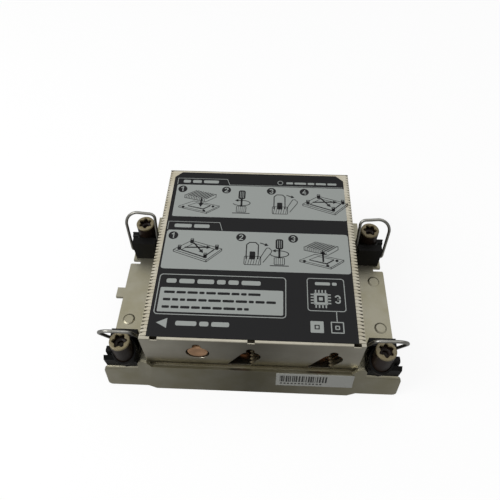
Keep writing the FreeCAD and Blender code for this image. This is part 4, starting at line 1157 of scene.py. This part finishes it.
# ---------------------------------------------------------------- stage
@dataclass
class Stage:
    """Camera, world, floor and lights."""

    SKY = ((0.0, 0.10), (0.5, 0.15), (0.62, 0.22), (0.72, 0.40), (0.9, 0.80), (1.0, 0.95))
    # Levels across X of the floor's painted reflection in metal; the low middle is a painted
    # shade.
    FLOOR_PAINTED_REFLECTION = ((0.0, 0.47), (0.5, 0.125), (1.0, 0.41))
    FLOOR_GREY = 0.24
    LEFT_W = 1.8
    RIGHT_W = 0.35
    ABOVE_W = 0.12

    def camera(self) -> None:
        """Create the camera."""
        data = bpy.data.cameras.new("camera")
        data.lens = CAMERA_LENS
        data.sensor_width = 36.0
        data.clip_start = 0.005
        data.clip_end = 20.0
        camera = bpy.data.objects.new("camera", data)
        camera.location = [v * MM for v in CAMERA_MM]
        camera.rotation_euler = Euler([math.radians(v) for v in CAMERA_DEG], "XYZ")
        bpy.context.scene.collection.objects.link(camera)
        bpy.context.scene.camera = camera

    def world(self) -> None:
        """Make a world that is white to the camera and a soft studio to every other ray.

        The studio's brightness follows the height of the direction looked at.
        """
        world = bpy.data.worlds.new("studio")
        bpy.context.scene.world = world
        tree = fresh_tree(world)
        coords = add_node(tree, "ShaderNodeTexCoord")
        split = add_node(tree, "ShaderNodeSeparateXYZ", Vector=coords.outputs["Generated"])
        ramp = self.ramp(tree, split.outputs["Z"], -1.0, 1.0, self.SKY)
        studio = add_node(tree, "ShaderNodeBackground", Color=ramp, Strength=1.0)
        white = add_node(tree, "ShaderNodeBackground", Color=(1, 1, 1, 1), Strength=1.0)
        path = add_node(tree, "ShaderNodeLightPath")
        add_node(tree, "ShaderNodeOutputWorld", Surface=self.mixed(
            tree, path.outputs["Is Camera Ray"], studio, white))

    def mixed(self, tree: bpy.types.NodeTree, share: bpy.types.NodeSocket | float,
              first: bpy.types.Node, second: bpy.types.Node) -> bpy.types.NodeSocket:
        """Return (1 - share) of the first shader plus share of the second."""
        return add_node(tree, "ShaderNodeMixShader", Fac=share, in1=first.outputs[0],
                        in2=second.outputs[0]).outputs[0]

    def ramp(self, tree: bpy.types.NodeTree, value: bpy.types.NodeSocket, low: float,
             high: float, stops: Sequence[tuple[float, float]]) -> bpy.types.NodeSocket:
        """Turn a value between low and high into a grey through (position, level) stops."""
        span = add_node(tree, "ShaderNodeMapRange", Value=value, From_Min=low, From_Max=high)
        ramp = add_node(tree, "ShaderNodeValToRGB", Fac=span.outputs["Result"])
        elements = ramp.color_ramp.elements
        while len(elements) < len(stops):
            elements.new(0.5)
        for element, (position, level) in zip(elements, stops):
            element.position = position
            element.color = (level, level, level, 1)
        return ramp.outputs["Color"]

    def floor(self) -> None:
        """Lay a plain pale floor: white with a faint shadow to the camera; in metal a dimmer,
        painted reflection, bright at both sides with a painted shade in the middle.
        """
        material = bpy.data.materials.new("pale_floor")
        tree = fresh_tree(material)
        coords = add_node(tree, "ShaderNodeTexCoord")
        split = add_node(tree, "ShaderNodeSeparateXYZ", Vector=coords.outputs["Object"])
        path = add_node(tree, "ShaderNodeLightPath")
        paper = add_node(tree, "ShaderNodeBsdfDiffuse", Color=(0.9, 0.9, 0.9, 1))
        white = add_node(tree, "ShaderNodeEmission", Color=(1, 1, 1, 1), Strength=1.0)
        seen = self.mixed(tree, 0.86, paper, white)
        # What metal sees of the floor is a painted reflection: an emission bright at both sides
        # and dim in the middle, a painted shade in front of the part.
        dim = add_node(tree, "ShaderNodeEmission", Strength=1.0, Color=self.ramp(
            tree, split.outputs["X"], -60 * MM, 60 * MM, self.FLOOR_PAINTED_REFLECTION))
        grey = add_node(tree, "ShaderNodeBsdfDiffuse", Color=(self.FLOOR_GREY,) * 3 + (1,))
        bounce = self.mixed(tree, path.outputs["Is Glossy Ray"], grey, dim)
        add_node(tree, "ShaderNodeOutputMaterial", Surface=self.mixed(
            tree, path.outputs["Is Camera Ray"], bounce.node, seen.node))
        mesh = bpy.data.meshes.new("floor")
        reach = 2500 * MM
        level = FLOOR_Z * MM
        mesh.from_pydata([(-reach, -reach, level), (reach, -reach, level),
                          (reach, reach, level), (-reach, reach, level)], [], [(0, 1, 2, 3)])
        mesh.materials.append(material)
        floor = bpy.data.objects.new("floor", mesh)
        bpy.context.scene.collection.objects.link(floor)

    def light(self, name: str, place: Sequence[float], target: Sequence[float],
              size: tuple[float, float], power: float) -> None:
        """Add an area light that points at a target; places in millimetres, power in watts."""
        data = bpy.data.lights.new(name, "AREA")
        data.shape = "RECTANGLE"
        data.size, data.size_y = size[0] * MM, size[1] * MM
        data.energy = power
        lamp = bpy.data.objects.new(name, data)
        lamp.location = [v * MM for v in place]
        aim = Vector([(t - p) * MM for t, p in zip(target, place)])
        lamp.rotation_euler = aim.to_track_quat("-Z", "Y").to_euler()
        bpy.context.scene.collection.objects.link(lamp)

    def build(self) -> None:
        """Build the stage."""
        self.camera()
        self.world()
        self.floor()
        self.light("softbox_left", (-420, -120, 380), (0, 10, 10), (320, 320), self.LEFT_W)
        self.light("softbox_right", (420, 120, 420), (0, 10, 10), (300, 300), self.RIGHT_W)
        self.light("lamp_above", (-40, 250, 580), (0, 0, 20), (260, 200), self.ABOVE_W)
        scene = bpy.context.scene
        scene.view_settings.view_transform = "Standard"


def main() -> None:
    """Build every piece of the scene."""
    logging.basicConfig(level=logging.INFO)
    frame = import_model()
    MetalWork(frame).build()
    pipes = (
        HeatPipe("heat_pipe_left", *PIPE_LEFT, 1, 30.1, -23.5, -28.84),
        HeatPipe("heat_pipe_middle", *PIPE_MIDDLE, -1, -14.41, 23.5, 52.94),
        HeatPipe("heat_pipe_right", *PIPE_RIGHT, -1, -14.41, 23.5, 52.94),
    )
    FinPack(frame).build()
    for pipe in pipes:
        pipe.build()
    for name, side_x, side_y in (("front_left", -1, -1), ("front_right", 1, -1),
                                 ("back_left", -1, 1), ("back_right", 1, 1)):
        Corner(frame, name, side_x, side_y).build()
    TopLabel(frame).build()
    FrontSticker(frame).build()
    Stage().build()


if __name__ == "__main__":
    main()
